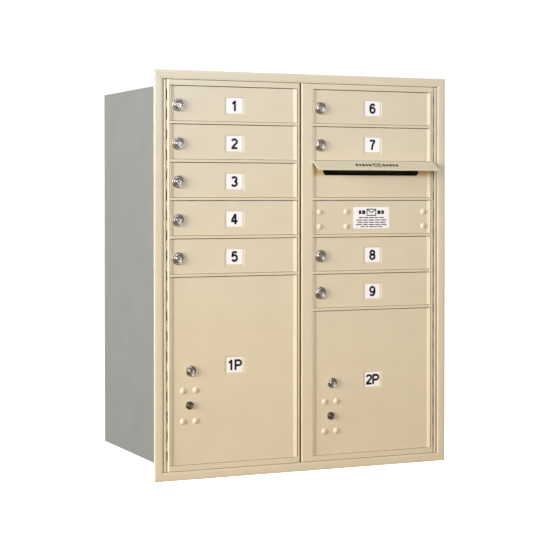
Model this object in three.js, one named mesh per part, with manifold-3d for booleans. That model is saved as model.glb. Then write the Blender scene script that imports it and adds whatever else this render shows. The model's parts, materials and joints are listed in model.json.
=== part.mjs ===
// Recessed front-loading cluster mailbox: two master doors on piano hinges carry nine tenant doors,
// two parcel doors, an outgoing-mail panel and an access panel, in front of a sheet-metal housing.
//
// Working frame ("face" group): x to the right, y into the wall from the front face of the trim,
// z up from the lower edge of the trim. The exported group moves it so that the origin is the
// centre of the housing's underside, the face that rests on the sill of the wall opening.
import * as THREE from "three";
import { mergeVertices } from "three/addons/utils/BufferGeometryUtils.js";
import Module from "manifold-3d";

const wasm = await Module();
wasm.setup();

// ---- Driving dimensions, millimetres ----

// Front grid
const MODULE_PITCH = 88.9;
const MODULES = 10;
const RAIL = 6.3;
const END_RAIL = 12.9;
const DOOR_WIDTH = 325;
const STILE = 5.2;
const LATCH_STILE = 29.7;
const SEAM = 3.5;
const DOOR_GAP = 0.8;
const MASTER_GAP = 1;

// What fills each column from the top, in modules
const LEFT_COLUMN = [
  { name: "door_1", modules: 1, kind: "tenant" },
  { name: "door_2", modules: 1, kind: "tenant" },
  { name: "door_3", modules: 1, kind: "tenant" },
  { name: "door_4", modules: 1, kind: "tenant" },
  { name: "door_5", modules: 1, kind: "tenant" },
  { name: "parcel_door_1", modules: 5, kind: "parcel" },
];
const RIGHT_COLUMN = [
  { name: "door_6", modules: 1, kind: "tenant" },
  { name: "door_7", modules: 1, kind: "tenant" },
  { name: "outgoing_panel", modules: 1, kind: "outgoing" },
  { name: "access_panel", modules: 1, kind: "access" },
  { name: "door_8", modules: 1, kind: "tenant" },
  { name: "door_9", modules: 1, kind: "tenant" },
  { name: "parcel_door_2", modules: 4, kind: "parcel" },
];

// Trim ring
const TRIM_WIDTH = 21;
const TRIM_THICKNESS = 3;
const TRIM_EDGE_RADIUS = 1.5;

// Housing
const HOUSING_DEPTH = 429;
const SHEET = 2;
const SIDE_OVERHANG = 20;
const HOUSING_LAP = 0.2;
const FRONT_POCKET_DEPTH = 28;
const PARTITION_THICKNESS = 2.4;
const PARTITION_FLANGE_LEFT = 14;
const PARTITION_FLANGE_RIGHT = 17.5;
const SHELF_THICKNESS = 2;
const SHELF_SETBACK = 9;

// Master doors
const FRAME_DEPTH = 14;
const DOOR_LIP = 8;
const FRAME_EDGE_RADIUS = 2;
const HINGE_TURN_GAP = 2.8;
const HINGE_DEPTH = 4;
const KNUCKLE_RADIUS = 3.2;
const KNUCKLES = 13;
const KNUCKLE_GAP = 0.6;
const PIN_RADIUS = 1.5;
const HINGE_LEAF = 1.2;
const HINGE_LEAF_DEPTH = 20;

// Door extrusion: a thin panel between two shallow bevels, with a hinge barrel on the right
const DOOR_THICKNESS = 5;
const DOOR_RELIEF = 2;
const DOOR_BEVEL = 8.5;
const DOOR_EDGE = 1.5;
const BARREL_RADIUS = 3;
const ROD_RADIUS = 1.5;
const BARREL_WEB = 5;

// Locks
const LOCK_INSET = 20;
const LOCK_DROP = 4;
const TENANT_PLUG_RADIUS = 7;
const PARCEL_LOCK_INSET = 51.5;
const PARCEL_PLUG_RADIUS = 7;
const CARRIER_LOCK_INSET = 48;
const CARRIER_LOCK_DROP = 80;
const CARRIER_PLUG_RADIUS = 5.5;
const PLUG_PROUD = 4;
const KEYWAY_WIDTH = 1.6;
const KEYWAY_DEPTH = 2.5;
const CAM_THICKNESS = 2;
const CAM_WIDTH = 10;
const CAM_SETBACK = 1;
const CAM_REACH = 7;

// Outgoing-mail slot, hood and baffle
const SLOT_INSET_LEFT = 28;
const SLOT_INSET_RIGHT = 35;
const SLOT_DROP = 10.8;
const SLOT_HEIGHT = 18;
const SLOT_CORNER = 5.5;
const HOOD_PROUD = 33;
const HOOD_FALL = 19.2;
const HOOD_LIP = 3.3;
const HOOD_SHEET = 2;
const HOOD_SIDE_GAP = 1;
const BAFFLE_SHEET = 1.5;
const BAFFLE_DEPTH = 24;
const BAFFLE_FALL = 20;
const BAFFLE_FLANGE = 6;
const BAFFLE_SIDE_LAP = 12;

// Master latch
const BAR_WIDTH = 12;
const BAR_THICKNESS = 3;
const BAR_STROKE = 16;
const BAR_END_CLEARANCE = 30;
const HOOKS = 3;
const HOOK_WIDTH = 8;
const HOOK_ARM = 5;
const HOOK_FINGER = 12;
const HOOK_THICKNESS = 3;
const WINDOW_SPARE = 5;
const WINDOW_SIDE_GAP = 1.4;
const CASE_WIDTH = 98;
const CASE_HEIGHT = 64;
const CASE_DEPTH = 6.7;
const LATCH_SWING = Math.PI / 3;
const LATCH_OFFSET = 14;
const LATCH_HUB_RADIUS = 7;
const LATCH_ROLLER_RADIUS = 3.4;
const LATCH_ARM_WIDTH = 3.6;
const LATCH_SHAFT_RADIUS = 3;
const PRONG = 5;

// Catch of the left master door
const CATCH_INSET = 9;
const CATCH_SHAFT_RADIUS = 2;
const CATCH_RADIUS = 4.5;
const CATCH_LENGTH = 18;
const CATCH_THICKNESS = 2;

// Named clearances: parts that touch, parts that turn, and parts that slide past each other
const SEAT = 0.3;
const RUN = 0.4;
const TRACK = 1;

// ---- Places that follow from them ----

const HINGE_TO_WALL = HINGE_LEAF + KNUCKLE_RADIUS + 2 * SEAT;
const HINGE_TO_TRIM = HINGE_TO_WALL + SIDE_OVERHANG + SHEET - TRIM_WIDTH;
const HINGE_TO_STILE = KNUCKLE_RADIUS + HINGE_TURN_GAP;
const DOOR_POCKET_DEPTH = Math.max(2 * BARREL_RADIUS, DOOR_THICKNESS) + TRACK;
const LATCH_ARM = BAR_STROKE / (2 * Math.sin(LATCH_SWING / 2));
const WINDOW_HEIGHT = TRACK + HOOK_ARM + Math.max(BAR_STROKE, HOOK_FINGER) + WINDOW_SPARE;
const HEIGHT = 2 * (TRIM_WIDTH + MASTER_GAP + END_RAIL) + MODULES * MODULE_PITCH - RAIL;
const HINGE_ZONE = HINGE_TO_TRIM + HINGE_TO_STILE;
const LEFT_MASTER_WIDTH = 2 * STILE + 2 * DOOR_GAP + DOOR_WIDTH;
const RIGHT_MASTER_WIDTH = LATCH_STILE + STILE + 2 * DOOR_GAP + DOOR_WIDTH;
const WIDTH = 2 * (TRIM_WIDTH + HINGE_ZONE) + LEFT_MASTER_WIDTH + SEAM + RIGHT_MASTER_WIDTH;

const LEFT_MASTER = -WIDTH / 2 + TRIM_WIDTH + HINGE_ZONE;
const RIGHT_MASTER = LEFT_MASTER + LEFT_MASTER_WIDTH + SEAM;
const LEFT_DOORS = LEFT_MASTER + STILE + DOOR_GAP;
const RIGHT_DOORS = RIGHT_MASTER + LATCH_STILE + DOOR_GAP;
const LEFT_HINGE = LEFT_MASTER - HINGE_TO_STILE;
const RIGHT_HINGE = RIGHT_MASTER + RIGHT_MASTER_WIDTH + HINGE_TO_STILE;

const INNER_WIDTH = WIDTH - 2 * TRIM_WIDTH;
const INNER_HEIGHT = HEIGHT - 2 * TRIM_WIDTH;
const MASTER_BOTTOM = TRIM_WIDTH + MASTER_GAP;
const MASTER_TOP = HEIGHT - MASTER_BOTTOM;
const GRID_TOP = MASTER_TOP - END_RAIL;
const GRID_BOTTOM = MASTER_BOTTOM + END_RAIL;

const HOUSING_FRONT = TRIM_THICKNESS;
const HOUSING_BACK = HOUSING_FRONT + HOUSING_DEPTH;
const HOUSING_SIDE = WIDTH / 2 - SIDE_OVERHANG;
const HOUSING_TOP = GRID_TOP + HOUSING_LAP;
const HOUSING_BOTTOM = GRID_BOTTOM - HOUSING_LAP;
const WALL_END = HOUSING_BACK - SHEET - SEAT;
const SHELF_FRONT = FRONT_POCKET_DEPTH + SHELF_SETBACK;
const FLANGE_BACK = FRONT_POCKET_DEPTH + SHEET;

const CAM_FRONT = FRAME_DEPTH + CAM_SETBACK;
const BAR_FRONT = FRAME_DEPTH + TRACK;
const BAR_BACK = BAR_FRONT + BAR_THICKNESS;
const BAR_BOTTOM = MASTER_BOTTOM + BAR_END_CLEARANCE;
const BAR_TOP = MASTER_TOP - BAR_END_CLEARANCE - BAR_STROKE;
const BAR_LEFT = 0;
const CASE_FRONT = FRAME_DEPTH + SEAT;
const CASE_BACK = CASE_FRONT + CASE_DEPTH;
const LATCH_CAM_FRONT = CASE_BACK + SEAT;
const LATCH_CAM_BACK = LATCH_CAM_FRONT + CAM_THICKNESS;
const LATCH_X = BAR_LEFT + BAR_WIDTH + LATCH_OFFSET;

// ---- Materials ----

const CREAM = new THREE.MeshStandardMaterial({ color: 0xd9c9a8, roughness: 0.55, metalness: 0.1 });
const MILL = new THREE.MeshStandardMaterial({ color: 0xa2a4a2, roughness: 0.45, metalness: 0.8 });
const STEEL = new THREE.MeshStandardMaterial({ color: 0x8f9296, roughness: 0.35, metalness: 1 });
const NICKEL = new THREE.MeshStandardMaterial({ color: 0xb7b3aa, roughness: 0.3, metalness: 1 });
const DARK = new THREE.MeshStandardMaterial({ color: 0x5d564e, roughness: 0.4, metalness: 1 });

// ---- Geometry helpers ----

// A closed three.js geometry as a solid that can be cut and joined.
function solid(geometry) {
  const bare = geometry.clone();
  bare.deleteAttribute("normal");
  bare.deleteAttribute("uv");
  const merged = mergeVertices(bare, 1e-4);
  const vertProperties = new Float32Array(merged.attributes.position.array);
  const triVerts = new Uint32Array(merged.index.array);
  return new wasm.Manifold(new wasm.Mesh({ numProp: 3, vertProperties, triVerts }));
}

function geometryOf(body) {
  const mesh = body.getMesh();
  const geometry = new THREE.BufferGeometry();
  geometry.setAttribute("position", new THREE.BufferAttribute(mesh.vertProperties, 3));
  geometry.setIndex(new THREE.BufferAttribute(mesh.triVerts, 1));
  const faceted = geometry.toNonIndexed();
  faceted.computeVertexNormals();
  return faceted;
}

function block(x0, x1, y0, y1, z0, z1) {
  const geometry = new THREE.BoxGeometry(x1 - x0, y1 - y0, z1 - z0);
  return solid(geometry.translate((x0 + x1) / 2, (y0 + y1) / 2, (z0 + z1) / 2));
}

function polygon(points) {
  return new THREE.Shape(points.map(([a, b]) => new THREE.Vector2(a, b)));
}

function rectangle(a0, a1, b0, b1) {
  return polygon([[a0, b0], [a1, b0], [a1, b1], [a0, b1]]);
}

// Extrusions of a drawn shape: shape (x, y) along Z, (y, z) along X and (x, z) along Y.
function alongZ(shape, z0, z1, curveSegments = 6) {
  const geometry = new THREE.ExtrudeGeometry(shape, { depth: z1 - z0, bevelEnabled: false, curveSegments });
  return solid(geometry.translate(0, 0, z0));
}

function alongX(shape, x0, x1) {
  const geometry = new THREE.ExtrudeGeometry(shape, { depth: x1 - x0, bevelEnabled: false });
  const turn = new THREE.Matrix4().makeBasis(
    new THREE.Vector3(0, 1, 0),
    new THREE.Vector3(0, 0, 1),
    new THREE.Vector3(1, 0, 0),
  );
  return solid(geometry.applyMatrix4(turn).translate(x0, 0, 0));
}

function alongY(shape, y0, y1, curveSegments = 6) {
  const geometry = new THREE.ExtrudeGeometry(shape, { depth: y1 - y0, bevelEnabled: false, curveSegments });
  return solid(geometry.rotateX(Math.PI / 2).translate(0, y1, 0));
}

function rodAlongZ(x, y, radius, z0, z1, sides = 12) {
  const geometry = new THREE.CylinderGeometry(radius, radius, z1 - z0, sides);
  return solid(geometry.rotateX(Math.PI / 2).translate(x, y, (z0 + z1) / 2));
}

function rodAlongY(x, z, radius, y0, y1, sides = 20) {
  const geometry = new THREE.CylinderGeometry(radius, radius, y1 - y0, sides);
  return solid(geometry.translate(x, (y0 + y1) / 2, z));
}

const face = new THREE.Group();

function add(name, body, material, position = [0, 0, 0], turn = 0) {
  const mesh = new THREE.Mesh(geometryOf(body), material.clone());
  mesh.name = name;
  mesh.position.set(...position);
  mesh.rotation.y = turn;
  face.add(mesh);
}

// ---- Trim: four mitred flats that cover the edge of the wall opening ----

// A bar along X whose width grows outwards (+Z) from its inner edge, with 45 degree ends. A shallow
// rebate along the back of its inner edge clears the housing's rim, which ends at the wall's face.
function mitredBar(innerLength) {
  const rim = Math.max(SEAT + SHEET, TRIM_WIDTH - SIDE_OVERHANG) + SEAT;
  const profile = new THREE.Shape();
  profile.moveTo(0, 0);
  profile.lineTo(TRIM_WIDTH - TRIM_EDGE_RADIUS, 0);
  profile.absarc(TRIM_WIDTH - TRIM_EDGE_RADIUS, TRIM_EDGE_RADIUS, TRIM_EDGE_RADIUS, -Math.PI / 2, 0);
  profile.lineTo(TRIM_WIDTH, TRIM_THICKNESS);
  profile.lineTo(rim, TRIM_THICKNESS);
  profile.lineTo(rim, TRIM_THICKNESS - SEAT);
  profile.lineTo(0, TRIM_THICKNESS - SEAT);
  const geometry = new THREE.ExtrudeGeometry(profile, { depth: 1, bevelEnabled: false, curveSegments: 3 });
  const points = geometry.attributes.position;
  for (let i = 0; i < points.count; i++) {
    const across = points.getX(i);
    const depth = points.getY(i);
    const along = (0.5 - points.getZ(i)) * (innerLength + 2 * across - SEAT * Math.SQRT2);
    points.setXYZ(i, along, depth, across);
  }
  return solid(geometry);
}

function buildTrim() {
  const middle = HEIGHT / 2;
  add("trim_top", mitredBar(INNER_WIDTH), CREAM, [0, 0, middle + INNER_HEIGHT / 2]);
  add("trim_right", mitredBar(INNER_HEIGHT), CREAM, [INNER_WIDTH / 2, 0, middle], Math.PI / 2);
  add("trim_bottom", mitredBar(INNER_WIDTH), CREAM, [0, 0, middle - INNER_HEIGHT / 2], Math.PI);
  add("trim_left", mitredBar(INNER_HEIGHT), CREAM, [-INNER_WIDTH / 2, 0, middle], -Math.PI / 2);
}

// ---- Housing: five sheets, with a taller front pocket that the master doors close into ----

const POCKET_TOP = HEIGHT - TRIM_WIDTH + SEAT;
const POCKET_BOTTOM = TRIM_WIDTH - SEAT;

function buildHousing() {
  const side = polygon([
    [HOUSING_FRONT, POCKET_BOTTOM - SHEET],
    [FRONT_POCKET_DEPTH + SHEET, POCKET_BOTTOM - SHEET],
    [FRONT_POCKET_DEPTH + SHEET, HOUSING_BOTTOM],
    [WALL_END, HOUSING_BOTTOM],
    [WALL_END, HOUSING_TOP],
    [FRONT_POCKET_DEPTH + SHEET, HOUSING_TOP],
    [FRONT_POCKET_DEPTH + SHEET, POCKET_TOP + SHEET],
    [HOUSING_FRONT, POCKET_TOP + SHEET],
  ]);
  add("housing_left_side", alongX(side, -HOUSING_SIDE, -HOUSING_SIDE + SHEET), MILL);
  add("housing_right_side", alongX(side, HOUSING_SIDE - SHEET, HOUSING_SIDE), MILL);

  const reach = HOUSING_SIDE - SHEET - SEAT;
  const lid = (flange, pocket, wall) => polygon([
    [HOUSING_FRONT, flange],
    [HOUSING_FRONT, pocket],
    [FRONT_POCKET_DEPTH, pocket],
    [FRONT_POCKET_DEPTH, wall.inner],
    [WALL_END, wall.inner],
    [WALL_END, wall.outer],
    [FRONT_POCKET_DEPTH + SHEET, wall.outer],
    [FRONT_POCKET_DEPTH + SHEET, flange],
  ]);
  const top = { inner: HOUSING_TOP - SHEET, outer: HOUSING_TOP };
  const bottom = { inner: HOUSING_BOTTOM + SHEET, outer: HOUSING_BOTTOM };
  add("housing_top", alongX(lid(POCKET_TOP + SHEET, POCKET_TOP, top), -reach, reach), MILL);
  add("housing_bottom", alongX(lid(POCKET_BOTTOM - SHEET, POCKET_BOTTOM, bottom), -reach, reach), MILL);

  const back = block(-HOUSING_SIDE, HOUSING_SIDE, HOUSING_BACK - SHEET, HOUSING_BACK, HOUSING_BOTTOM, HOUSING_TOP);
  add("housing_back", back, MILL);
}

// ---- Partition and shelves ----

// Heights of the latch hooks' lower edges with the bar at rest, shared by the bar and the partition.
const HOOK_HEIGHTS = Array.from(
  { length: HOOKS },
  (_, i) => BAR_BOTTOM + ((i + 0.5) / HOOKS) * (BAR_TOP - BAR_BOTTOM),
);
const HOOK_RIGHT = BAR_LEFT + BAR_WIDTH;
const HOOK_LEFT = HOOK_RIGHT - HOOK_WIDTH;

function buildPartition() {
  const half = PARTITION_THICKNESS / 2;
  const section = polygon([
    [-PARTITION_FLANGE_LEFT, FRONT_POCKET_DEPTH],
    [PARTITION_FLANGE_RIGHT, FRONT_POCKET_DEPTH],
    [PARTITION_FLANGE_RIGHT, FLANGE_BACK],
    [half, FLANGE_BACK],
    [half, WALL_END],
    [-half, WALL_END],
    [-half, FLANGE_BACK],
    [-PARTITION_FLANGE_LEFT, FLANGE_BACK],
  ]);
  let body = alongZ(section, HOUSING_BOTTOM + SHEET + SEAT, HOUSING_TOP - SHEET - SEAT);
  for (const height of HOOK_HEIGHTS) {
    const window = block(
      HOOK_LEFT - WINDOW_SIDE_GAP, HOOK_RIGHT + WINDOW_SIDE_GAP,
      FRONT_POCKET_DEPTH - 1, FLANGE_BACK + 1,
      height - TRACK, height - TRACK + WINDOW_HEIGHT,
    );
    body = body.subtract(window);
  }
  add("centre_partition", body, MILL);
}

// The column's openings from the top: each entry with the heights of its opening.
function openings(column) {
  let used = 0;
  return column.map((entry) => {
    const top = GRID_TOP - used * MODULE_PITCH;
    used += entry.modules;
    return { ...entry, top, bottom: top - entry.modules * MODULE_PITCH + RAIL };
  });
}

// A shelf lies behind each rail, except inside the outgoing-mail compartment, which takes two modules.
function buildShelves(column, label, x0, x1) {
  let count = 0;
  openings(column).slice(0, -1).forEach((entry) => {
    if (entry.kind === "outgoing") return;
    count += 1;
    const height = entry.bottom - RAIL / 2;
    const shelf = block(
      x0, x1, SHELF_FRONT, WALL_END - SEAT,
      height - SHELF_THICKNESS / 2, height + SHELF_THICKNESS / 2,
    );
    add(`${label}_shelf_${count}`, shelf, MILL);
  });
}

// ---- Piano hinges of the master doors ----

const KNUCKLE_STEP = (MASTER_TOP - MASTER_BOTTOM) / KNUCKLES;

// Knuckles with even numbers belong to the fixed leaf, odd ones to the door.
function knuckleSpans(parity) {
  const spans = [];
  for (let i = parity; i < KNUCKLES; i += 2) {
    const low = MASTER_BOTTOM + i * KNUCKLE_STEP + KNUCKLE_GAP / 2;
    spans.push([low, low + KNUCKLE_STEP - KNUCKLE_GAP]);
  }
  return spans;
}

function buildFixedLeaf(name, hingeX, side) {
  const wall = side * (HOUSING_SIDE - SHEET - SEAT);
  const [x0, x1] = [wall, wall - side * HINGE_LEAF].sort((a, b) => a - b);
  const leafFront = HINGE_DEPTH - PIN_RADIUS;
  let body = block(x0, x1, leafFront, leafFront + HINGE_LEAF_DEPTH, MASTER_BOTTOM, MASTER_TOP);
  body = body.add(rodAlongZ(hingeX, HINGE_DEPTH, PIN_RADIUS, MASTER_BOTTOM, MASTER_TOP));
  const [w0, w1] = [hingeX, x0 < hingeX ? x0 : x1].sort((a, b) => a - b);
  for (const [z0, z1] of knuckleSpans(0)) {
    body = body.add(rodAlongZ(hingeX, HINGE_DEPTH, KNUCKLE_RADIUS, z0, z1, 16));
    body = body.add(block(w0, w1, HINGE_DEPTH - HINGE_LEAF / 2, HINGE_DEPTH + HINGE_LEAF / 2, z0, z1));
  }
  add(name, body, CREAM);
}

// The door's knuckles, each with a strap that runs behind the pin to the stile.
function movingKnuckles(hingeX, stileX) {
  const [s0, s1] = [hingeX, stileX].sort((a, b) => a - b);
  const strapBack = HINGE_DEPTH + KNUCKLE_RADIUS;
  let body = null;
  for (const [z0, z1] of knuckleSpans(1)) {
    const knuckle = rodAlongZ(hingeX, HINGE_DEPTH, KNUCKLE_RADIUS, z0, z1, 16);
    const piece = knuckle.add(block(s0, s1, strapBack - HINGE_LEAF, strapBack, z0, z1));
    body = body ? body.add(piece) : piece;
  }
  return body;
}

// ---- Master door frames ----

function cornerCutter(x, side) {
  const r = FRAME_EDGE_RADIUS;
  const shape = new THREE.Shape();
  shape.moveTo(x + side, -1);
  shape.lineTo(x - side * r, -1);
  shape.lineTo(x - side * r, 0);
  if (side > 0) shape.absarc(x - r, r, r, -Math.PI / 2, 0);
  else shape.absarc(x + r, r, r, -Math.PI / 2, -Math.PI, true);
  shape.lineTo(x + side, r);
  return alongZ(shape, MASTER_BOTTOM - 1, MASTER_TOP + 1, 4);
}

function masterFrame(x0, x1, doorsX, column, hingeX, stileX) {
  const windows = openings(column);
  const left = doorsX - DOOR_GAP;
  const right = doorsX + DOOR_WIDTH + DOOR_GAP;
  const layer = (inset, y0, y1) => {
    const outline = rectangle(x0, x1, MASTER_BOTTOM, MASTER_TOP);
    for (const { top, bottom } of windows) {
      outline.holes.push(rectangle(left + inset, right - inset, bottom, top));
    }
    return alongY(outline, y0, y1);
  };
  let body = layer(0, 0, DOOR_POCKET_DEPTH).add(layer(DOOR_LIP, DOOR_POCKET_DEPTH, FRAME_DEPTH));
  body = body.subtract(cornerCutter(x0, -1)).subtract(cornerCutter(x1, 1));
  body = body.add(movingKnuckles(hingeX, stileX));
  const past = MASTER_GAP;
  const bore = PIN_RADIUS + RUN;
  body = body.subtract(
    rodAlongZ(hingeX, HINGE_DEPTH, bore, MASTER_BOTTOM - past, MASTER_TOP + past),
  );
  const rodX = doorsX + DOOR_WIDTH - BARREL_RADIUS;
  return body.subtract(
    rodAlongZ(rodX, BARREL_RADIUS, ROD_RADIUS + RUN, MASTER_BOTTOM - past, MASTER_TOP + past),
  );
}

function buildMasters() {
  const leftEnd = LEFT_MASTER + LEFT_MASTER_WIDTH;
  const rightEnd = RIGHT_MASTER + RIGHT_MASTER_WIDTH;
  const catchHole = rodAlongY(
    CATCH_X, CATCH_Z, CATCH_SHAFT_RADIUS + RUN, DOOR_POCKET_DEPTH - 1, FRAME_DEPTH + 1, 12,
  );
  const leftFrame = masterFrame(LEFT_MASTER, leftEnd, LEFT_DOORS, LEFT_COLUMN, LEFT_HINGE, LEFT_MASTER + 1);
  add("left_master_frame", leftFrame.subtract(catchHole), CREAM);
  const rightFrame = masterFrame(
    RIGHT_MASTER, rightEnd, RIGHT_DOORS, RIGHT_COLUMN, RIGHT_HINGE, rightEnd - 1,
  );
  add("right_master_frame", rightFrame, CREAM);
}

// ---- Doors and panels ----

// Plan section from the left edge: raised edge, bevel, flat, bevel, hinge barrel.
function doorSection() {
  const right = DOOR_WIDTH - BARREL_RADIUS;
  const depth = 2 * BARREL_RADIUS;
  const section = new THREE.Shape();
  section.moveTo(0, DOOR_THICKNESS);
  section.lineTo(0, 0);
  section.lineTo(DOOR_EDGE, 0);
  section.lineTo(DOOR_EDGE + DOOR_BEVEL, DOOR_RELIEF);
  section.lineTo(right - DOOR_BEVEL, DOOR_RELIEF);
  section.lineTo(right, 0);
  section.absarc(right, BARREL_RADIUS, BARREL_RADIUS, -Math.PI / 2, Math.PI / 2);
  section.lineTo(right - BARREL_WEB, depth);
  section.lineTo(right - BARREL_WEB - depth + DOOR_THICKNESS, DOOR_THICKNESS);
  const bore = new THREE.Path();
  bore.absarc(right, BARREL_RADIUS, ROD_RADIUS + RUN, 0, 2 * Math.PI, true);
  section.holes.push(bore);
  return section;
}

function leafHeight(entry) {
  return entry.top - entry.bottom - 2 * DOOR_GAP;
}

function doorBody(entry, holes = []) {
  let body = alongZ(doorSection(), 0, leafHeight(entry), 5);
  for (const { x, z, radius } of holes) {
    body = body.subtract(rodAlongY(x, z, radius + RUN, -1, 2 * BARREL_RADIUS + 1));
  }
  return body;
}

// A key plug that turns in the door, with its cam hanging straight down when unlocked.
function lockBody(plugRadius, camLength) {
  const plug = rodAlongY(0, 0, plugRadius, -PLUG_PROUD, CAM_FRONT + CAM_THICKNESS);
  const half = CAM_WIDTH / 2;
  const outline = new THREE.Shape();
  outline.moveTo(-half, 0);
  outline.absarc(0, 0, half, Math.PI, 0, true);
  outline.lineTo(half, -camLength + half);
  outline.absarc(0, -camLength + half, half, 0, -Math.PI, true);
  const cam = alongY(outline, CAM_FRONT, CAM_FRONT + CAM_THICKNESS);
  const keyway = block(
    -KEYWAY_WIDTH / 2, KEYWAY_WIDTH / 2,
    -PLUG_PROUD - 1, -PLUG_PROUD + KEYWAY_DEPTH,
    -plugRadius * 0.6, plugRadius * 0.6,
  );
  return plug.add(cam).subtract(keyway);
}

function buildTenantDoor(entry, doorsX) {
  const z = leafHeight(entry) / 2 - LOCK_DROP;
  const hole = { x: LOCK_INSET, z, radius: TENANT_PLUG_RADIUS };
  const base = entry.bottom + DOOR_GAP;
  add(entry.name, doorBody(entry, [hole]), CREAM, [doorsX, 0, base]);
  const reach = LOCK_INSET + DOOR_GAP - DOOR_LIP + CAM_REACH;
  const lock = lockBody(TENANT_PLUG_RADIUS, reach);
  add(entry.name.replace("door", "lock"), lock, NICKEL, [doorsX + LOCK_INSET, 0, base + z]);
}

// The parcel door has the customer's lock at mid-height and the carrier's smaller lock below it.
function buildParcelDoor(entry, doorsX) {
  const middle = leafHeight(entry) / 2;
  const customer = { x: PARCEL_LOCK_INSET, z: middle, radius: PARCEL_PLUG_RADIUS };
  const carrier = { x: CARRIER_LOCK_INSET, z: middle - CARRIER_LOCK_DROP, radius: CARRIER_PLUG_RADIUS };
  const base = entry.bottom + DOOR_GAP;
  add(entry.name, doorBody(entry, [customer, carrier]), CREAM, [doorsX, 0, base]);
  const number = entry.name.slice(-1);
  for (const [name, lock, material] of [
    [`parcel_lock_${number}`, customer, NICKEL],
    [`carrier_lock_${number}`, carrier, DARK],
  ]) {
    const reach = lock.x + DOOR_GAP - DOOR_LIP + CAM_REACH;
    add(name, lockBody(lock.radius, reach), material, [doorsX + lock.x, 0, base + lock.z]);
  }
}

function buildOutgoing(entry, doorsX) {
  const base = entry.bottom + DOOR_GAP;
  const slotTop = leafHeight(entry) - SLOT_DROP + DOOR_GAP;
  const slotBottom = slotTop - SLOT_HEIGHT;
  const slotLeft = SLOT_INSET_LEFT;
  const slotRight = DOOR_WIDTH - SLOT_INSET_RIGHT;
  const slot = polygon([
    [slotLeft, slotTop],
    [slotLeft, slotBottom + SLOT_CORNER],
    [slotLeft + SLOT_CORNER, slotBottom],
    [slotRight - SLOT_CORNER, slotBottom],
    [slotRight, slotBottom + SLOT_CORNER],
    [slotRight, slotTop],
  ]);
  const body = doorBody(entry).subtract(alongY(slot, -1, 2 * BARREL_RADIUS + 1));
  add(entry.name, body, CREAM, [doorsX, 0, base]);

  // Hood: a folded sheet fixed to the rail above, sloping down to a small front lip.
  const top = entry.top + RAIL - DOOR_GAP;
  const back = -SEAT;
  const front = -HOOD_PROUD;
  const hood = polygon([
    [back, top],
    [front, top - HOOD_FALL],
    [front, top - HOOD_FALL - HOOD_LIP],
    [front + HOOD_SHEET, top - HOOD_FALL - HOOD_LIP],
    [front + HOOD_SHEET, top - HOOD_FALL - HOOD_SHEET / 2],
    [back - HOOD_SHEET, top - 1.4 * HOOD_SHEET],
    [back - HOOD_SHEET, entry.top],
    [back, entry.top],
  ].reverse());
  const hoodLeft = doorsX - DOOR_GAP - HOOD_SIDE_GAP;
  const hoodRight = doorsX + DOOR_WIDTH + DOOR_GAP + STILE - HOOD_SIDE_GAP;
  add("outgoing_hood", alongX(hood, hoodLeft, hoodRight), CREAM);

  // Baffle: a bent sheet behind the slot that letters slide under.
  const flangeTop = base + leafHeight(entry) - DOOR_GAP;
  const start = DOOR_THICKNESS + SEAT;
  const baffle = polygon([
    [start, flangeTop],
    [start, flangeTop - BAFFLE_FLANGE],
    [start + BAFFLE_DEPTH, flangeTop - BAFFLE_FLANGE - BAFFLE_FALL],
    [start + BAFFLE_DEPTH, flangeTop - BAFFLE_FLANGE - BAFFLE_FALL + 1.4 * BAFFLE_SHEET],
    [start + BAFFLE_SHEET, flangeTop - BAFFLE_FLANGE + BAFFLE_SHEET / 2],
    [start + BAFFLE_SHEET, flangeTop],
  ]);
  const baffleLeft = doorsX + slotLeft - BAFFLE_SIDE_LAP;
  const baffleRight = doorsX + slotRight + BAFFLE_SIDE_LAP;
  add("outgoing_baffle", alongX(baffle, baffleLeft, baffleRight), MILL);
}

// ---- Hinge rods that the doors of a column turn on ----

function buildRod(name, doorsX) {
  const x = doorsX + DOOR_WIDTH - BARREL_RADIUS;
  add(name, rodAlongZ(x, BARREL_RADIUS, ROD_RADIUS, MASTER_BOTTOM, MASTER_TOP), STEEL);
}

// ---- Master latch behind the access panel ----

const ACCESS = openings(RIGHT_COLUMN).find((entry) => entry.kind === "access");
const LATCH_Z = (ACCESS.top + ACCESS.bottom) / 2;

function buildAccess(entry, doorsX) {
  add(entry.name, doorBody(entry), CREAM, [doorsX, 0, entry.bottom + DOOR_GAP]);

  const caseLeft = LATCH_X - LATCH_HUB_RADIUS;
  const shaftHole = rodAlongY(
    LATCH_X, LATCH_Z, LATCH_SHAFT_RADIUS + RUN, CASE_FRONT - 1, CASE_BACK + 1, 12,
  );
  const latchCase = block(
    caseLeft, caseLeft + CASE_WIDTH, CASE_FRONT, CASE_BACK,
    LATCH_Z - CASE_HEIGHT / 2, LATCH_Z + CASE_HEIGHT / 2,
  );
  add("latch_case", latchCase.subtract(shaftHole), STEEL);
}

// Hub, arm and roller; the arm points left and down at rest, half the swing below level.
function buildLatchCam() {
  const half = LATCH_SWING / 2;
  const tipX = -LATCH_ARM * Math.cos(half);
  const tipZ = -LATCH_ARM * Math.sin(half);
  const arm = new THREE.BoxGeometry(LATCH_ARM, CAM_THICKNESS, LATCH_ARM_WIDTH);
  arm.translate(-LATCH_ARM / 2, (LATCH_CAM_FRONT + LATCH_CAM_BACK) / 2, 0).rotateY(-half);
  let body = rodAlongY(0, 0, LATCH_HUB_RADIUS, LATCH_CAM_FRONT, LATCH_CAM_BACK);
  body = body.add(rodAlongY(tipX, tipZ, LATCH_ROLLER_RADIUS, LATCH_CAM_FRONT, LATCH_CAM_BACK, 16));
  body = body.add(rodAlongY(0, 0, LATCH_SHAFT_RADIUS, CASE_FRONT, LATCH_CAM_BACK, 12));
  body = body.add(solid(arm));
  add("latch_cam", body, STEEL, [LATCH_X, 0, LATCH_Z]);
}

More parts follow.
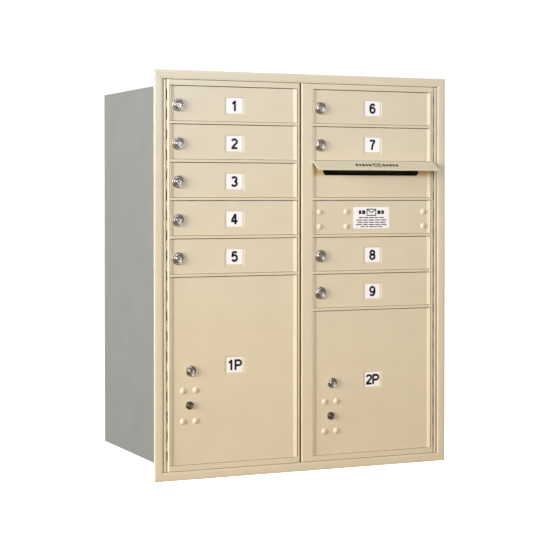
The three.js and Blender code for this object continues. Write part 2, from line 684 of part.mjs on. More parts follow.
// A long bar with hooks that rise behind the partition's flange, and a fork for the cam's roller.
function buildLatchBar() {
  const right = BAR_LEFT + BAR_WIDTH;
  const fingerFront = FLANGE_BACK + TRACK;
  const fingerBack = fingerFront + HOOK_THICKNESS;
  let body = block(BAR_LEFT, right, BAR_FRONT, BAR_BACK, BAR_BOTTOM, BAR_TOP);
  for (const z of HOOK_HEIGHTS) {
    body = body.add(block(HOOK_LEFT, HOOK_RIGHT, BAR_FRONT, fingerBack, z, z + HOOK_ARM));
    body = body.add(block(HOOK_LEFT, HOOK_RIGHT, fingerFront, fingerBack, z, z + HOOK_ARM + HOOK_FINGER));
  }
  const rollerZ = LATCH_Z - LATCH_ARM * Math.sin(LATCH_SWING / 2);
  const slotHalf = LATCH_ROLLER_RADIUS + SEAT;
  const forkRight = LATCH_X - LATCH_ARM * Math.cos(LATCH_SWING / 2) + 2;
  const forkBack = LATCH_CAM_BACK + SEAT;
  body = body.add(
    block(BAR_LEFT, forkRight, BAR_FRONT, forkBack, rollerZ - slotHalf - PRONG, rollerZ + slotHalf + PRONG),
  );
  const slotLeft = LATCH_X - LATCH_ARM - LATCH_ROLLER_RADIUS - RUN;
  body = body.subtract(
    block(slotLeft, forkRight + 1, BAR_BACK, forkBack + 1, rollerZ - slotHalf, rollerZ + slotHalf),
  );
  add("latch_bar", body, STEEL);
}

// ---- Turn catch that holds the left master door ----

const CATCH_X = LEFT_MASTER + LEFT_MASTER_WIDTH - CATCH_INSET;
const CATCH_Z = (ACCESS.top + ACCESS.bottom) / 2;

function buildCatch() {
  const front = FLANGE_BACK + TRACK;
  const shaft = rodAlongY(0, 0, CATCH_SHAFT_RADIUS, DOOR_POCKET_DEPTH + SEAT, front + CATCH_THICKNESS, 12);
  const hub = rodAlongY(0, 0, CATCH_RADIUS, front, front + CATCH_THICKNESS, 16);
  const blade = block(
    -CATCH_RADIUS, CATCH_RADIUS, front, front + CATCH_THICKNESS, -CATCH_LENGTH, 0,
  );
  add("left_master_catch", shaft.add(hub).add(blade), STEEL, [CATCH_X, 0, CATCH_Z]);
}

// ---- Assembly ----

const BUILDERS = {
  tenant: buildTenantDoor,
  parcel: buildParcelDoor,
  outgoing: buildOutgoing,
  access: buildAccess,
};

buildTrim();
buildHousing();
buildPartition();
const insideWall = HOUSING_SIDE - SHEET - SEAT;
const besidePartition = PARTITION_THICKNESS / 2 + SEAT;
buildShelves(LEFT_COLUMN, "left", -insideWall, -besidePartition);
buildShelves(RIGHT_COLUMN, "right", besidePartition, insideWall);
buildFixedLeaf("left_hinge_leaf", LEFT_HINGE, -1);
buildFixedLeaf("right_hinge_leaf", RIGHT_HINGE, 1);
buildMasters();
buildRod("left_door_rod", LEFT_DOORS);
buildRod("right_door_rod", RIGHT_DOORS);
for (const [column, doorsX] of [[LEFT_COLUMN, LEFT_DOORS], [RIGHT_COLUMN, RIGHT_DOORS]]) {
  for (const entry of openings(column)) BUILDERS[entry.kind](entry, doorsX);
}
buildLatchCam();
buildLatchBar();
buildCatch();

const cluster_mailbox = new THREE.Group();
face.position.set(0, -(HOUSING_FRONT + HOUSING_BACK) / 2, -HOUSING_BOTTOM);
cluster_mailbox.add(face);

export default cluster_mailbox;
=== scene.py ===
# %% [markdown]
# # A cluster mailbox unit, finished in Blender
# The real unit is a sheet-aluminium box that stands in a wall opening. Two powder-coated master
# doors on piano hinges carry nine letter doors, two parcel doors, an outgoing-mail panel and an
# access panel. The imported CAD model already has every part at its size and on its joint. This
# script keeps those places and makes the surfaces that the eye meets: extruded doors with rounded
# barrels, turned locks, number labels, studs, rivets, and a finish for each metal.

# %% The frame
import json
import math
from itertools import product

import bmesh
import bpy
from mathutils import Euler, Matrix, Vector

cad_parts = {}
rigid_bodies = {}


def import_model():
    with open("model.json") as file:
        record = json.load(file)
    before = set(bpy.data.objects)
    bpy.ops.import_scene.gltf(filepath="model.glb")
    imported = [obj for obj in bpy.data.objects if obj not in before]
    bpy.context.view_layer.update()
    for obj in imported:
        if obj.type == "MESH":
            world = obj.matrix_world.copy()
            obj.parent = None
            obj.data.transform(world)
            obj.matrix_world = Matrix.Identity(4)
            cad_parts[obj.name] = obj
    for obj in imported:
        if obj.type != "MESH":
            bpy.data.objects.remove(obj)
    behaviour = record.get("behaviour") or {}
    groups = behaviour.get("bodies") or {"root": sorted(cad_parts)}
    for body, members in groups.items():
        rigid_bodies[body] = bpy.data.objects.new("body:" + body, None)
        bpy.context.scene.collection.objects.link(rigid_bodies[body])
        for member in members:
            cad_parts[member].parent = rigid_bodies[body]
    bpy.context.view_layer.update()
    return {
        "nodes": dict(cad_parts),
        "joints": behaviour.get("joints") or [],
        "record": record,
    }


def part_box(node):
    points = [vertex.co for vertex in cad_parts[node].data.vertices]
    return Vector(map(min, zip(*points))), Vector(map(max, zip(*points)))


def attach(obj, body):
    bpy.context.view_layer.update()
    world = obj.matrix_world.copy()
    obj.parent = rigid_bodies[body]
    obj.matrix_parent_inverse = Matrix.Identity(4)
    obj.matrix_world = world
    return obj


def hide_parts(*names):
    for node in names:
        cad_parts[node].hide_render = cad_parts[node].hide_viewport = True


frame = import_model()
scene = bpy.context.scene
MM = 0.001
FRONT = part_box("trim_top")[0].y
print("CAD nodes:", len(frame["nodes"]), "front face at y =", round(FRONT, 5))

# %% [markdown]
# ## Camera
# The unit is seen from its left and a little above, through a long lens. The camera is almost
# level, which keeps the upright edges upright, and the lens is shifted down a little instead.

# %% Camera
MIDDLE = Vector((0, FRONT, 0.44))
CAMERA_PLACE = Vector((-1.6247, -3.6917, 0.6262))
CAMERA_YAW = math.radians(-23.97)
CAMERA_DIP = math.radians(0.906)
LENS = 104.7
LENS_SHIFT = -0.0976
SENSOR = 36

camera_data = bpy.data.cameras.new("camera")
camera_data.lens = LENS
camera_data.sensor_width = SENSOR
camera_data.shift_y = LENS_SHIFT
camera_data.clip_end = 100
camera = bpy.data.objects.new("camera", camera_data)
camera.location = CAMERA_PLACE
camera.rotation_euler = Euler((math.radians(90) - CAMERA_DIP, 0, CAMERA_YAW))
scene.collection.objects.link(camera)
scene.camera = camera
print("camera is", round((CAMERA_PLACE - MIDDLE).length, 2), "m from the doors")

# %% [markdown]
# ## Shader tools
# Colours are written as the hex values that a paint chart gives. A shader works with light, which
# is linear, so one function turns each value. A second function adds a node with its settings and
# links, and every material below is made with those two.

# %% Shader tools


def paint(code):
    """An sRGB hex colour as linear RGBA."""
    parts = [int(code[i:i + 2], 16) / 255 for i in (1, 3, 5)]
    return [c / 12.92 if c <= 0.04045 else ((c + 0.055) / 1.055) ** 2.4 for c in parts] + [1]


def add_node(tree, kind, inputs=None, **settings):
    """A shader node with its settings, and its inputs set to a value or linked to a socket."""
    made = tree.nodes.new("ShaderNode" + kind)
    for key, value in settings.items():
        setattr(made, key, value)
    for key, value in (inputs or {}).items():
        if isinstance(value, bpy.types.NodeSocket):
            tree.links.new(value, made.inputs[key])
        else:
            made.inputs[key].default_value = value
    return made


def new_material(name):
    """An empty node material, with its tree and the coordinates of the object that wears it."""
    made = bpy.data.materials.new(name)
    made.use_nodes = True
    made.node_tree.nodes.clear()
    place = add_node(made.node_tree, "TexCoord").outputs["Object"]
    return made, made.node_tree, place


def finish_material(tree, inputs):
    """The principled shader and the output that end each material."""
    shader = add_node(tree, "BsdfPrincipled", inputs)
    add_node(tree, "OutputMaterial", {"Surface": shader.outputs["BSDF"]})


def per_mm(size):
    """The scale of a noise whose features are that many millimetres across."""
    return 1 / (size * MM)


# %% [markdown]
# ## Cream powder coat
# Polyester powder, sprayed on aluminium and baked. It flows into a skin with a faint orange peel
# and a satin gloss. The peel is drawn 2.5 mm across, about twice the real size, so that it shows.
# A slow drift of a few percent in colour comes from the thickness of the powder.

# %% Cream powder coat
POWDER_PEEL = 2.5
POWDER_CLOUD = 70


def make_powder_coat(name, light, dark, rough):
    made, tree, place = new_material(name)
    cloud = add_node(tree, "TexNoise", {"Vector": place, "Scale": per_mm(POWDER_CLOUD), "Detail": 3})
    tint = add_node(tree, "ValToRGB", {"Fac": cloud.outputs["Fac"]})
    tint.color_ramp.elements[0].position = 0.3
    tint.color_ramp.elements[0].color = paint(dark)
    tint.color_ramp.elements[1].position = 0.7
    tint.color_ramp.elements[1].color = paint(light)
    peel = add_node(tree, "TexNoise", {"Vector": place, "Scale": per_mm(POWDER_PEEL), "Detail": 2})
    gloss = add_node(tree, "MapRange", {
        "Value": peel.outputs["Fac"], "To Min": rough - 0.04, "To Max": rough + 0.04,
    })
    bump = add_node(tree, "Bump", {
        "Height": peel.outputs["Fac"], "Strength": 0.12, "Distance": 0.05 * MM,
    })
    finish_material(tree, {
        "Base Color": tint.outputs["Color"], "Roughness": gloss.outputs["Result"],
        "Normal": bump.outputs["Normal"], "IOR": 1.5,
    })
    return made


powder_coat = make_powder_coat("cream_powder_coat", "#d5c7a4", "#d1c3a0", 0.42)

# %% [markdown]
# ## Mill-finish aluminium
# The housing, shelves and partition are bare rolled sheet. Rolling leaves fine streaks that run
# one way, which break up its gloss. The streaks are drawn 1.5 mm apart, coarser than the real ones.

# %% Mill-finish aluminium
ROLLING_PITCH = 1.5
ROLLING_LENGTH = 120
SHEET_BLOOM = 90

mill_aluminium, tree, place = new_material("mill_aluminium")
stretch = add_node(tree, "Mapping", {
    "Vector": place, "Scale": (per_mm(ROLLING_PITCH), per_mm(ROLLING_PITCH), per_mm(ROLLING_LENGTH)),
})
streaks = add_node(tree, "TexNoise", {"Vector": stretch.outputs["Vector"], "Scale": 1, "Detail": 4})
bloom = add_node(tree, "TexNoise", {"Vector": place, "Scale": per_mm(SHEET_BLOOM), "Detail": 3})
sheet_tint = add_node(tree, "ValToRGB", {"Fac": bloom.outputs["Fac"]})
sheet_tint.color_ramp.elements[0].color = paint("#999b97")
sheet_tint.color_ramp.elements[1].color = paint("#a5a6a0")
sheet_gloss = add_node(tree, "MapRange", {
    "Value": streaks.outputs["Fac"], "To Min": 0.42, "To Max": 0.58,
})
sheet_bump = add_node(tree, "Bump", {
    "Height": streaks.outputs["Fac"], "Strength": 0.08, "Distance": 0.03 * MM,
})
finish_material(tree, {
    "Base Color": sheet_tint.outputs["Color"], "Roughness": sheet_gloss.outputs["Result"],
    "Normal": sheet_bump.outputs["Normal"], "Metallic": 1,
})

# %% [markdown]
# ## Plated metals
# The latch and the rods are steel with a bright zinc coat, which has small spangles of grey. The
# letter locks are die-cast zinc with satin nickel, and the carrier's locks have a darker nickel.
# All three share a recipe: a metal whose tint and gloss change from spangle to spangle.

# %% Plated metals


def make_plated(name, light, dark, rough, spangle):
    made, tree, place = new_material(name)
    cells = add_node(tree, "TexVoronoi", {"Vector": place, "Scale": per_mm(spangle)})
    grain = add_node(tree, "TexNoise", {"Vector": place, "Scale": per_mm(spangle / 3), "Detail": 4})
    tint = add_node(tree, "ValToRGB", {"Fac": cells.outputs["Distance"]})
    tint.color_ramp.elements[0].color = paint(light)
    tint.color_ramp.elements[1].color = paint(dark)
    gloss = add_node(tree, "MapRange", {
        "Value": grain.outputs["Fac"], "To Min": rough - 0.06, "To Max": rough + 0.06,
    })
    finish_material(tree, {
        "Base Color": tint.outputs["Color"], "Roughness": gloss.outputs["Result"], "Metallic": 1,
    })
    return made


zinc_plate = make_plated("zinc_plated_steel", "#c9ccd0", "#b2b6bb", 0.34, 6)
satin_nickel = make_plated("satin_nickel", "#bfae9b", "#9d8d7c", 0.33, 3)
dark_nickel = make_plated("dark_nickel", "#85745c", "#66584a", 0.4, 3)

# %% [markdown]
# ## Label film and ink
# Each number is printed in black on white vinyl film with a satin face. The film is a little
# cloudy, and the ink lies on it as a thin matt layer with slightly uneven gloss.

# %% Label film and ink


def make_film(name, light, dark, rough, cloud_size):
    made, tree, place = new_material(name)
    cloud = add_node(tree, "TexNoise", {"Vector": place, "Scale": per_mm(cloud_size), "Detail": 2})
    tint = add_node(tree, "ValToRGB", {"Fac": cloud.outputs["Fac"]})
    tint.color_ramp.elements[0].color = paint(dark)
    tint.color_ramp.elements[1].color = paint(light)
    gloss = add_node(tree, "MapRange", {
        "Value": cloud.outputs["Fac"], "To Min": rough - 0.05, "To Max": rough + 0.05,
    })
    finish_material(tree, {
        "Base Color": tint.outputs["Color"], "Roughness": gloss.outputs["Result"], "IOR": 1.46,
    })
    return made


label_film = make_film("label_film", "#f7f0e6", "#efe8dd", 0.35, 12)
print_ink = make_film("print_ink", "#0f0e0f", "#0a090a", 0.75, 5)
print("materials:", len(bpy.data.materials))

# %% [markdown]
# ## Mesh tools
# Four ways of making metal parts are enough here. An extrusion pushes a drawn outline along a
# line, as the doors and folded sheets are made. A turned piece spins an outline round an axis, as
# the lock parts are. A frame is a plate with windows, put together from cells. The last way takes
# the CAD node and breaks its edges. Corners are rounded in the outline where the real bend shows.

# %% Outlines


def rounded(points, steps=4):
    """An outline of (a, b) or (a, b, radius) points in millimetres, with its corners rounded."""
    made = []
    for i, point in enumerate(points):
        corner = Vector(point[:2])
        radius = point[2] if len(point) > 2 else 0
        if not radius:
            made.append(corner)
            continue
        before = Vector(points[i - 1][:2]) - corner
        after = Vector(points[(i + 1) % len(points)][:2]) - corner
        reach = radius / math.tan(before.angle(after) / 2)
        start = corner + before.normalized() * reach
        end = corner + after.normalized() * reach
        for step in range(steps + 1):
            t = step / steps
            made.append(start * (1 - t) ** 2 + corner * 2 * t * (1 - t) + end * t ** 2)
    return made


def box_outline(a0, a1, b0, b1, radius=0):
    return rounded([(a0, b0, radius), (a1, b0, radius), (a1, b1, radius), (a0, b1, radius)])


def arc(radius, start, end, steps, a=0, b=0):
    """Points along part of a circle about (a, b), between two angles in radians."""
    angles = [start + (end - start) * k / steps for k in range(steps + 1)]
    return [(a + radius * math.cos(t), b + radius * math.sin(t)) for t in angles]


def circle(radius, sides, a=0, b=0):
    return arc(radius, 0, 2 * math.pi, sides, a, b)[:-1]


# %% Solids from outlines
ALONG = {
    "Y": lambda a, b, t: Vector((a, t, b)),
    "Z": lambda a, b, t: Vector((a, b, t)),
}


def prism(bm, rings):
    """Closes two rings of vertices into a solid."""
    first, last = rings
    bm.faces.new(first)
    bm.faces.new(last)
    for i in range(len(first)):
        j = (i + 1) % len(first)
        bm.faces.new((first[i], first[j], last[j], last[i]))


def extrude(bm, outline, axis, start, end):
    """Pushes an outline along an axis, from start to end. All values are in millimetres."""
    prism(bm, [
        [bm.verts.new(ALONG[axis](p[0], p[1], t) * MM) for p in outline] for t in (start, end)
    ])


def turn(bm, profile, steps=40, closed=False):
    """Spins (radius, depth) points round the Y axis. A profile that isn't closed starts and ends on it."""
    rings = []
    for radius, depth in profile:
        if radius < 1e-6:
            rings.append([bm.verts.new((0, depth * MM, 0))])
            continue
        angles = [2 * math.pi * k / steps for k in range(steps)]
        rings.append([
            bm.verts.new(Vector((radius * math.cos(a), depth, radius * math.sin(a))) * MM)
            for a in angles
        ])
    pairs = list(zip(rings, rings[1:]))
    if closed:
        pairs.append((rings[-1], rings[0]))
    for first, second in pairs:
        for k in range(steps):
            n = (k + 1) % steps
            corners = [first[k % len(first)], first[n % len(first)]]
            corners += [second[n % len(second)], second[k % len(second)]]
            bm.faces.new(list(dict.fromkeys(corners)))


def cells(bm, xs, ys, zs, is_solid):
    """A solid made of the cells between planes, with only its outer faces. Values in metres."""
    corners = {}

    def corner(i, j, k):
        if (i, j, k) not in corners:
            corners[i, j, k] = bm.verts.new((xs[i], ys[j], zs[k]))
        return corners[i, j, k]

    size = (len(xs) - 1, len(ys) - 1, len(zs) - 1)

    def filled(cell):
        return all(0 <= c < n for c, n in zip(cell, size)) and is_solid(*cell)

    for cell in product(*(range(n) for n in size)):
        if not filled(cell):
            continue
        for axis, side in product(range(3), (0, 1)):
            beside = list(cell)
            beside[axis] += 2 * side - 1
            if filled(beside):
                continue
            u, v = [a for a in range(3) if a != axis]
            ring = []
            for du, dv in ((0, 0), (1, 0), (1, 1), (0, 1)):
                at = list(cell)
                at[axis] += side
                at[u] += du
                at[v] += dv
                ring.append(corner(*at))
            bm.faces.new(ring)


# %% [markdown]
# A sharp CAD edge reflects nothing, and a real one always shows a thin line of light. So each
# piece has its edges broken by a bevel of some tenths of a millimetre. Weighted normals then keep
# the large flats flat while the light rolls round the edge.

# %% Finishing a piece


def soften(bm, width, angle=25):
    """Merges flat facets into whole faces and breaks the edges that turn by more than the angle."""
    bmesh.ops.remove_doubles(bm, verts=bm.verts, dist=0.002 * MM)
    bmesh.ops.dissolve_limit(
        bm, angle_limit=math.radians(0.5), verts=bm.verts, edges=bm.edges, use_dissolve_boundaries=False,
    )
    bmesh.ops.recalc_face_normals(bm, faces=bm.faces)
    sharp = [e for e in bm.edges if len(e.link_faces) == 2 and e.calc_face_angle() > math.radians(angle)]
    if width:
        bmesh.ops.bevel(
            bm, geom=sharp, offset=width * MM, offset_type="OFFSET", segments=2, profile=0.5,
            affect="EDGES", clamp_overlap=True,
        )


def plain_mesh(bm, name):
    """The bmesh as a mesh, with its faces turned outwards and nothing else done to it."""
    bmesh.ops.recalc_face_normals(bm, faces=bm.faces)
    mesh = bpy.data.meshes.new(name)
    bm.to_mesh(mesh)
    bm.free()
    return mesh


def mesh_of(bm, name, smooth_angle=40):
    """The bmesh as a mesh, smooth except across edges that turn by more than the angle."""
    mesh = plain_mesh(bm, name)
    leftover = mesh.attributes.get("custom_normal")
    if leftover:
        mesh.attributes.remove(leftover)
    mesh.shade_smooth()
    mesh.set_sharp_from_angle(angle=math.radians(smooth_angle))
    return mesh


def put(name, mesh, finish, body, at=(0, 0, 0), stands_for=()):
    """Places a mesh as a piece that wears a finish and moves with a body.
    """
    piece = bpy.data.objects.new(name, mesh)
    scene.collection.objects.link(piece)
    if not mesh.materials:
        mesh.materials.append(finish)
    piece.location = at
    weighted = piece.modifiers.new("flat_flats", "WEIGHTED_NORMAL")
    weighted.keep_sharp = True
    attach(piece, body)
    if stands_for:
        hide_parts(*stands_for)
    return piece


def body_of(node):
    """The CAD body that a node belongs to."""
    bodies = frame["record"]["behaviour"]["bodies"]
    return next(name for name, nodes in bodies.items() if node in nodes)


def softened(node, finish, width, source=None, angle=25):
    """A copy of a CAD node, or of the source, with broken edges. It stands for the node."""
    bm = bmesh.new()
    bm.from_mesh(source or frame["nodes"][node].data)
    soften(bm, width, angle)
    mesh = mesh_of(bm, node + "_shape")
    mesh.materials.clear()
    put(node + "_made", mesh, finish, body_of(node), stands_for=[node])


def cut(piece_mesh, cutters):
    """The mesh with the closed cutter meshes taken away."""
    host = bpy.data.objects.new("host", piece_mesh)
    scene.collection.objects.link(host)
    helpers = [host]
    for mesh in cutters:
        tool = bpy.data.objects.new("tool", mesh)
        scene.collection.objects.link(tool)
        helpers.append(tool)
        step = host.modifiers.new("cut", "BOOLEAN")
        step.operation = "DIFFERENCE"
        step.solver = "EXACT"
        step.object = tool
    bpy.context.view_layer.update()
    done = bpy.data.meshes.new_from_object(host.evaluated_get(bpy.context.evaluated_depsgraph_get()))
    for helper in helpers:
        bpy.data.objects.remove(helper)
    return done


def outline_mesh(name, outline, axis, start, end):
    """An extruded outline as a mesh, to cut with."""
    bm = bmesh.new()
    extrude(bm, outline, axis, start, end)
    return plain_mesh(bm, name)


# %% [markdown]
# ## Floor, light and background
# A plain studio: a pale floor well below the unit, which a wall would hold, and a white surround.
# A large soft box stands far out on the left, at a flat angle to the doors. That angle is what
# draws the shallow bevels: they turn 13 degrees to or from it and go bright or dark. Two small
# ones in front fill the faces, cool from above and warm from below, and two stand behind. What the
# metal mirrors is a bright ceiling that darkens towards the floor.

# %% Floor
FLOOR_DROP = 0.45
FLOOR_REACH = 30
FLOOR_GLOW = 0.95
FLOOR_CLOUD = 1250

floor_mesh = bpy.data.meshes.new("floor")
floor_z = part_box("trim_bottom")[0].z - FLOOR_DROP
floor_mesh.from_pydata(
    [(x, y, floor_z) for x, y in ((-1, -1), (1, -1), (1, 1), (-1, 1))], [], [(0, 1, 2, 3)],
)
floor_mesh.transform(Matrix.Diagonal((FLOOR_REACH, FLOOR_REACH, 1, 1)))
floor = bpy.data.objects.new("floor", floor_mesh)
scene.collection.objects.link(floor)
floor_paint, tree, place = new_material("studio_floor")
floor_cloud = add_node(tree, "TexNoise", {"Vector": place, "Scale": per_mm(FLOOR_CLOUD), "Detail": 2})
floor_tint = add_node(tree, "ValToRGB", {"Fac": floor_cloud.outputs["Fac"]})
floor_tint.color_ramp.elements[0].color = paint("#f6f6f6")
floor_tint.color_ramp.elements[1].color = paint("#fbfbfb")
finish_material(tree, {
    "Base Color": floor_tint.outputs["Color"], "Roughness": 0.9,
    "Emission Color": paint("#ffffff"), "Emission Strength": FLOOR_GLOW,
})
floor_mesh.materials.append(floor_paint)
floor.visible_diffuse = False
floor.visible_glossy = False
print("floor is at z =", round(floor_z, 3), "m")

# %% Light


def soft_box(name, place, aim, size, watts, colour="#ffffff", mirrored=True):
    """A round lamp that faces its aim. One that isn't mirrored leaves no image in the metal."""
    data = bpy.data.lights.new(name, "AREA")
    data.shape = "DISK"
    data.size = size
    data.energy = watts
    data.color = paint(colour)[:3]
    lamp = bpy.data.objects.new(name, data)
    lamp.location = place
    lamp.rotation_euler = (Vector(aim) - Vector(place)).to_track_quat("-Z", "Y").to_euler()
    lamp.visible_camera = False
    lamp.visible_glossy = mirrored
    scene.collection.objects.link(lamp)


def from_side(turned, raised, reach):
    """A place that far from the middle of the doors, turned to their left and raised, in degrees."""
    around, up = math.radians(turned), math.radians(raised)
    level = Vector((-math.sin(around), -math.cos(around), 0)) * math.cos(up)
    return MIDDLE + reach * (level + Vector((0, 0, math.sin(up))))


soft_box("key", from_side(78, 10, 7), MIDDLE, 3.2, 950)
soft_box("front_high", from_side(0, 24, 2.6), MIDDLE, 1.0, 51, "#b7d3ff")
soft_box("front_low", from_side(0, -10, 2), MIDDLE, 0.7, 13, "#ffc459", mirrored=False)
soft_box("behind_left", from_side(154, -2, 4), MIDDLE, 3.4, 8)
soft_box("behind_right", from_side(-128, 15, 3.6), MIDDLE, 2.0, 60)

# %% Background
SURROUND = 1.15
AMBIENT = 0.08
GROUND_SHINE = 0.1
CEILING_SHINE = 1.05
SHINE_BAND = 0.6

world = bpy.data.worlds.new("studio")
scene.world = world
world.use_nodes = True
tree = world.node_tree
tree.nodes.clear()
seen = add_node(tree, "Background", {"Color": (1, 1, 1, 1), "Strength": SURROUND})
ambient = add_node(tree, "Background", {"Color": (1, 0.88, 0.68, 1), "Strength": AMBIENT})
direction = add_node(tree, "TexCoord").outputs["Generated"]
facing = add_node(tree, "SeparateXYZ", {0: direction})
brightness = add_node(tree, "MapRange", {
    "Value": facing.outputs["Z"], "From Min": -SHINE_BAND, "From Max": SHINE_BAND,
    "To Min": GROUND_SHINE, "To Max": CEILING_SHINE,
})
shine = add_node(tree, "Background", {
    "Color": (1, 0.98, 0.95, 1), "Strength": brightness.outputs[0],
})
ray = add_node(tree, "LightPath")
mirrored_or_not = add_node(tree, "MixShader", {
    0: ray.outputs["Is Glossy Ray"], 1: ambient.outputs[0], 2: shine.outputs[0],
})
either = add_node(tree, "MixShader", {
    0: ray.outputs["Is Camera Ray"], 1: mirrored_or_not.outputs[0], 2: seen.outputs[0],
})
add_node(tree, "OutputWorld", {"Surface": either.outputs[0]})
scene.view_settings.view_transform = "Standard"
print("background nodes:", len(tree.nodes))

# %% [markdown]
# ## Trim
# Four mitred flats frame the opening. Their face is slightly crowned, so the light fades from one
# edge to the other. Each flat is swept between two corners, and a hair's breadth is left at the
# mitre, where the real pieces meet in a fine line.

# %% Trim
MITRE_GAP = 0.15
TRIM_CROWN = 0.5
TRIM_REBATE = 0.3
REBATE_WIDTH = 2.6

ring_low = Vector((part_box("trim_left")[0].x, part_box("trim_bottom")[0].z)) / MM
ring_high = Vector((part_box("trim_right")[1].x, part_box("trim_top")[1].z)) / MM
trim_width = (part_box("trim_top")[1].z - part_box("trim_top")[0].z) / MM
trim_thick = (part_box("trim_top")[1].y - FRONT) / MM
rebate = trim_width - REBATE_WIDTH
trim_profile = rounded([
    (0, TRIM_CROWN + 0.6, 0), (0.5, TRIM_CROWN, 0.4), (5, 0.05, 6), (trim_width - 5, 0.05, 6),
    (trim_width - 0.5, TRIM_CROWN, 0.4), (trim_width, TRIM_CROWN + 0.6, 0),
    (trim_width, trim_thick - TRIM_REBATE, 0), (rebate, trim_thick - TRIM_REBATE, 0),
    (rebate, trim_thick, 0), (0, trim_thick, 0),
], 5)
CORNERS = [
    (Vector((ring_low.x, ring_high.y)), Vector((1, -1))), (ring_high, Vector((-1, -1))),
    (Vector((ring_high.x, ring_low.y)), Vector((-1, 1))), (ring_low, Vector((1, 1))),
]
for index, side in enumerate(("top", "right", "bottom", "left")):
    ends = []
    for corner, inward in (CORNERS[index], CORNERS[(index + 1) % 4]):
        ends.append([(corner + inward * p[0], p[1]) for p in trim_profile])
    along = (ends[1][0][0] - ends[0][0][0]).normalized() * MITRE_GAP
    bm = bmesh.new()
    rings = []
    for ring, shift in zip(ends, (along, -along)):
        rings.append([
            bm.verts.new(((p.x + shift.x) * MM, FRONT + depth * MM, (p.y + shift.y) * MM))
            for p, depth in ring
        ])
    prism(bm, rings)
    soften(bm, 0)
    put("trim_%s_made" % side, mesh_of(bm, "trim_" + side, 30), powder_coat, "cabinet",
        stands_for=["trim_" + side])
print("trim is", round(trim_width, 1), "mm wide and", round(trim_thick, 1), "mm thick")

# %% [markdown]
# ## Doors
# Every door and panel is cut from one aluminium extrusion. Its section has a raised edge, a
# shallow bevel, a long flat, a second bevel and a round barrel for the hinge rod. Drawing that
# section once and pushing it to each height gives them all. The lock hole and a shallow pocket
# for the number are then cut out.

# %% Door section
DOOR_EDGE = 1.5
DOOR_BEVEL = 8.5
DOOR_RELIEF = 2
DOOR_THICK = 5
BARREL = 3
BARREL_WEB = 5
EDGE_BREAK = 0.5

door_low, door_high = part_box("door_1")
door_width = (door_high.x - door_low.x) / MM
flat_left = DOOR_EDGE + DOOR_BEVEL
flat_right = door_width - BARREL - DOOR_BEVEL
flat_middle = (flat_left + flat_right) / 2


def door_section():
    """Section of a door, x from its left edge and y from the face of the trim, in millimetres."""
    axle = door_width - BARREL
    barrel = [
        (axle + BARREL * math.sin(t), BARREL - BARREL * math.cos(t))
        for t in [math.pi * k / 12 for k in range(13)]
    ]
    web = [
        (axle - BARREL_WEB, 2 * BARREL, 0.5),
        (axle - BARREL_WEB - 2 * BARREL + DOOR_THICK, DOOR_THICK, 0.5),
    ]
    front = [
        (0, DOOR_THICK, EDGE_BREAK), (0, 0, EDGE_BREAK), (DOOR_EDGE, 0, 2),
        (flat_left, DOOR_RELIEF, 5), (flat_right, DOOR_RELIEF, 5),
    ]
    return rounded(front + barrel + web)


SECTION = door_section()
print("door section has", len(SECTION), "points over", round(door_width, 1), "mm")

# %% Door leaves
POCKET_WIDTH = 49
POCKET_HEIGHT = 41
POCKET_DEPTH = 0.9
POCKET_CORNER = 3
HOLE_RUN = 0.4
TOP_RELIEF = 0.7
LEAF_BREAK = 0.3


def leaf(name, height, pockets=(), holes=(), slots=()):
    """A door of that height in its own frame, with number pockets, round holes and slots cut in it."""
    bm = bmesh.new()
    extrude(bm, SECTION, "Z", 0, height - TOP_RELIEF)
    soften(bm, 0)
    mesh = plain_mesh(bm, name)
    tools = []
    for x, z in pockets:
        shape = box_outline(
            x - POCKET_WIDTH / 2, x + POCKET_WIDTH / 2, z - POCKET_HEIGHT / 2, z + POCKET_HEIGHT / 2,
            POCKET_CORNER,
        )
        tools.append(outline_mesh("pocket", shape, "Y", -1, DOOR_RELIEF + POCKET_DEPTH))
    for x, z, radius in holes:
        tools.append(outline_mesh("hole", circle(radius, 32, x, z), "Y", -1, 2 * BARREL + 1))
    for shape in slots:
        tools.append(outline_mesh("slot", shape, "Y", -1, 2 * BARREL + 1))
    if tools:
        mesh = cut(mesh, tools)
    bm = bmesh.new()
    bm.from_mesh(mesh)
    soften(bm, LEAF_BREAK, 50)
    return mesh_of(bm, name)


def joint_of(body):
    return next(j for j in frame["joints"] if j["child"] == body)


def plug_axis(lock):
    """A point on the axis that a lock's plug turns about."""
    return Vector(joint_of(lock)["pos_m"])


def local(point, door):
    """A point as (x, z) millimetres from the lower left corner of a door."""
    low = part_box(door)[0]
    return (point.x - low.x) / MM, (point.z - low.z) / MM


def spot_on(node, x, z):
    """A place on the front plane, x and z millimetres from a node's lower left corner."""
    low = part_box(node)[0]
    return Vector((low.x + x * MM, FRONT, low.z + z * MM))


def hang(node, mesh, body):
    """Puts a leaf in the place of its CAD node, which it stands for."""
    put(node + "_leaf", mesh, powder_coat, body, at=spot_on(node, 0, 0), stands_for=[node])


TENANT_DOORS = ["door_%d" % n for n in range(1, 10)]
TENANT_PLUG = 7
CARRIER_PLUG = 5.5

tenant_x, tenant_z = local(plug_axis("lock_1"), "door_1")
tenant_height = (door_high.z - door_low.z) / MM
tenant_leaf = leaf(
    "tenant_leaf", tenant_height, [(flat_middle, tenant_z)], [(tenant_x, tenant_z, TENANT_PLUG + HOLE_RUN)],
)
for name in TENANT_DOORS:
    hang(name, tenant_leaf, name)
print("letter doors are", round(tenant_height, 1), "mm high")

# %% Parcel doors and panels
PARCEL_LABEL_RISE = {"parcel_door_1": 9, "parcel_door_2": 2.4}

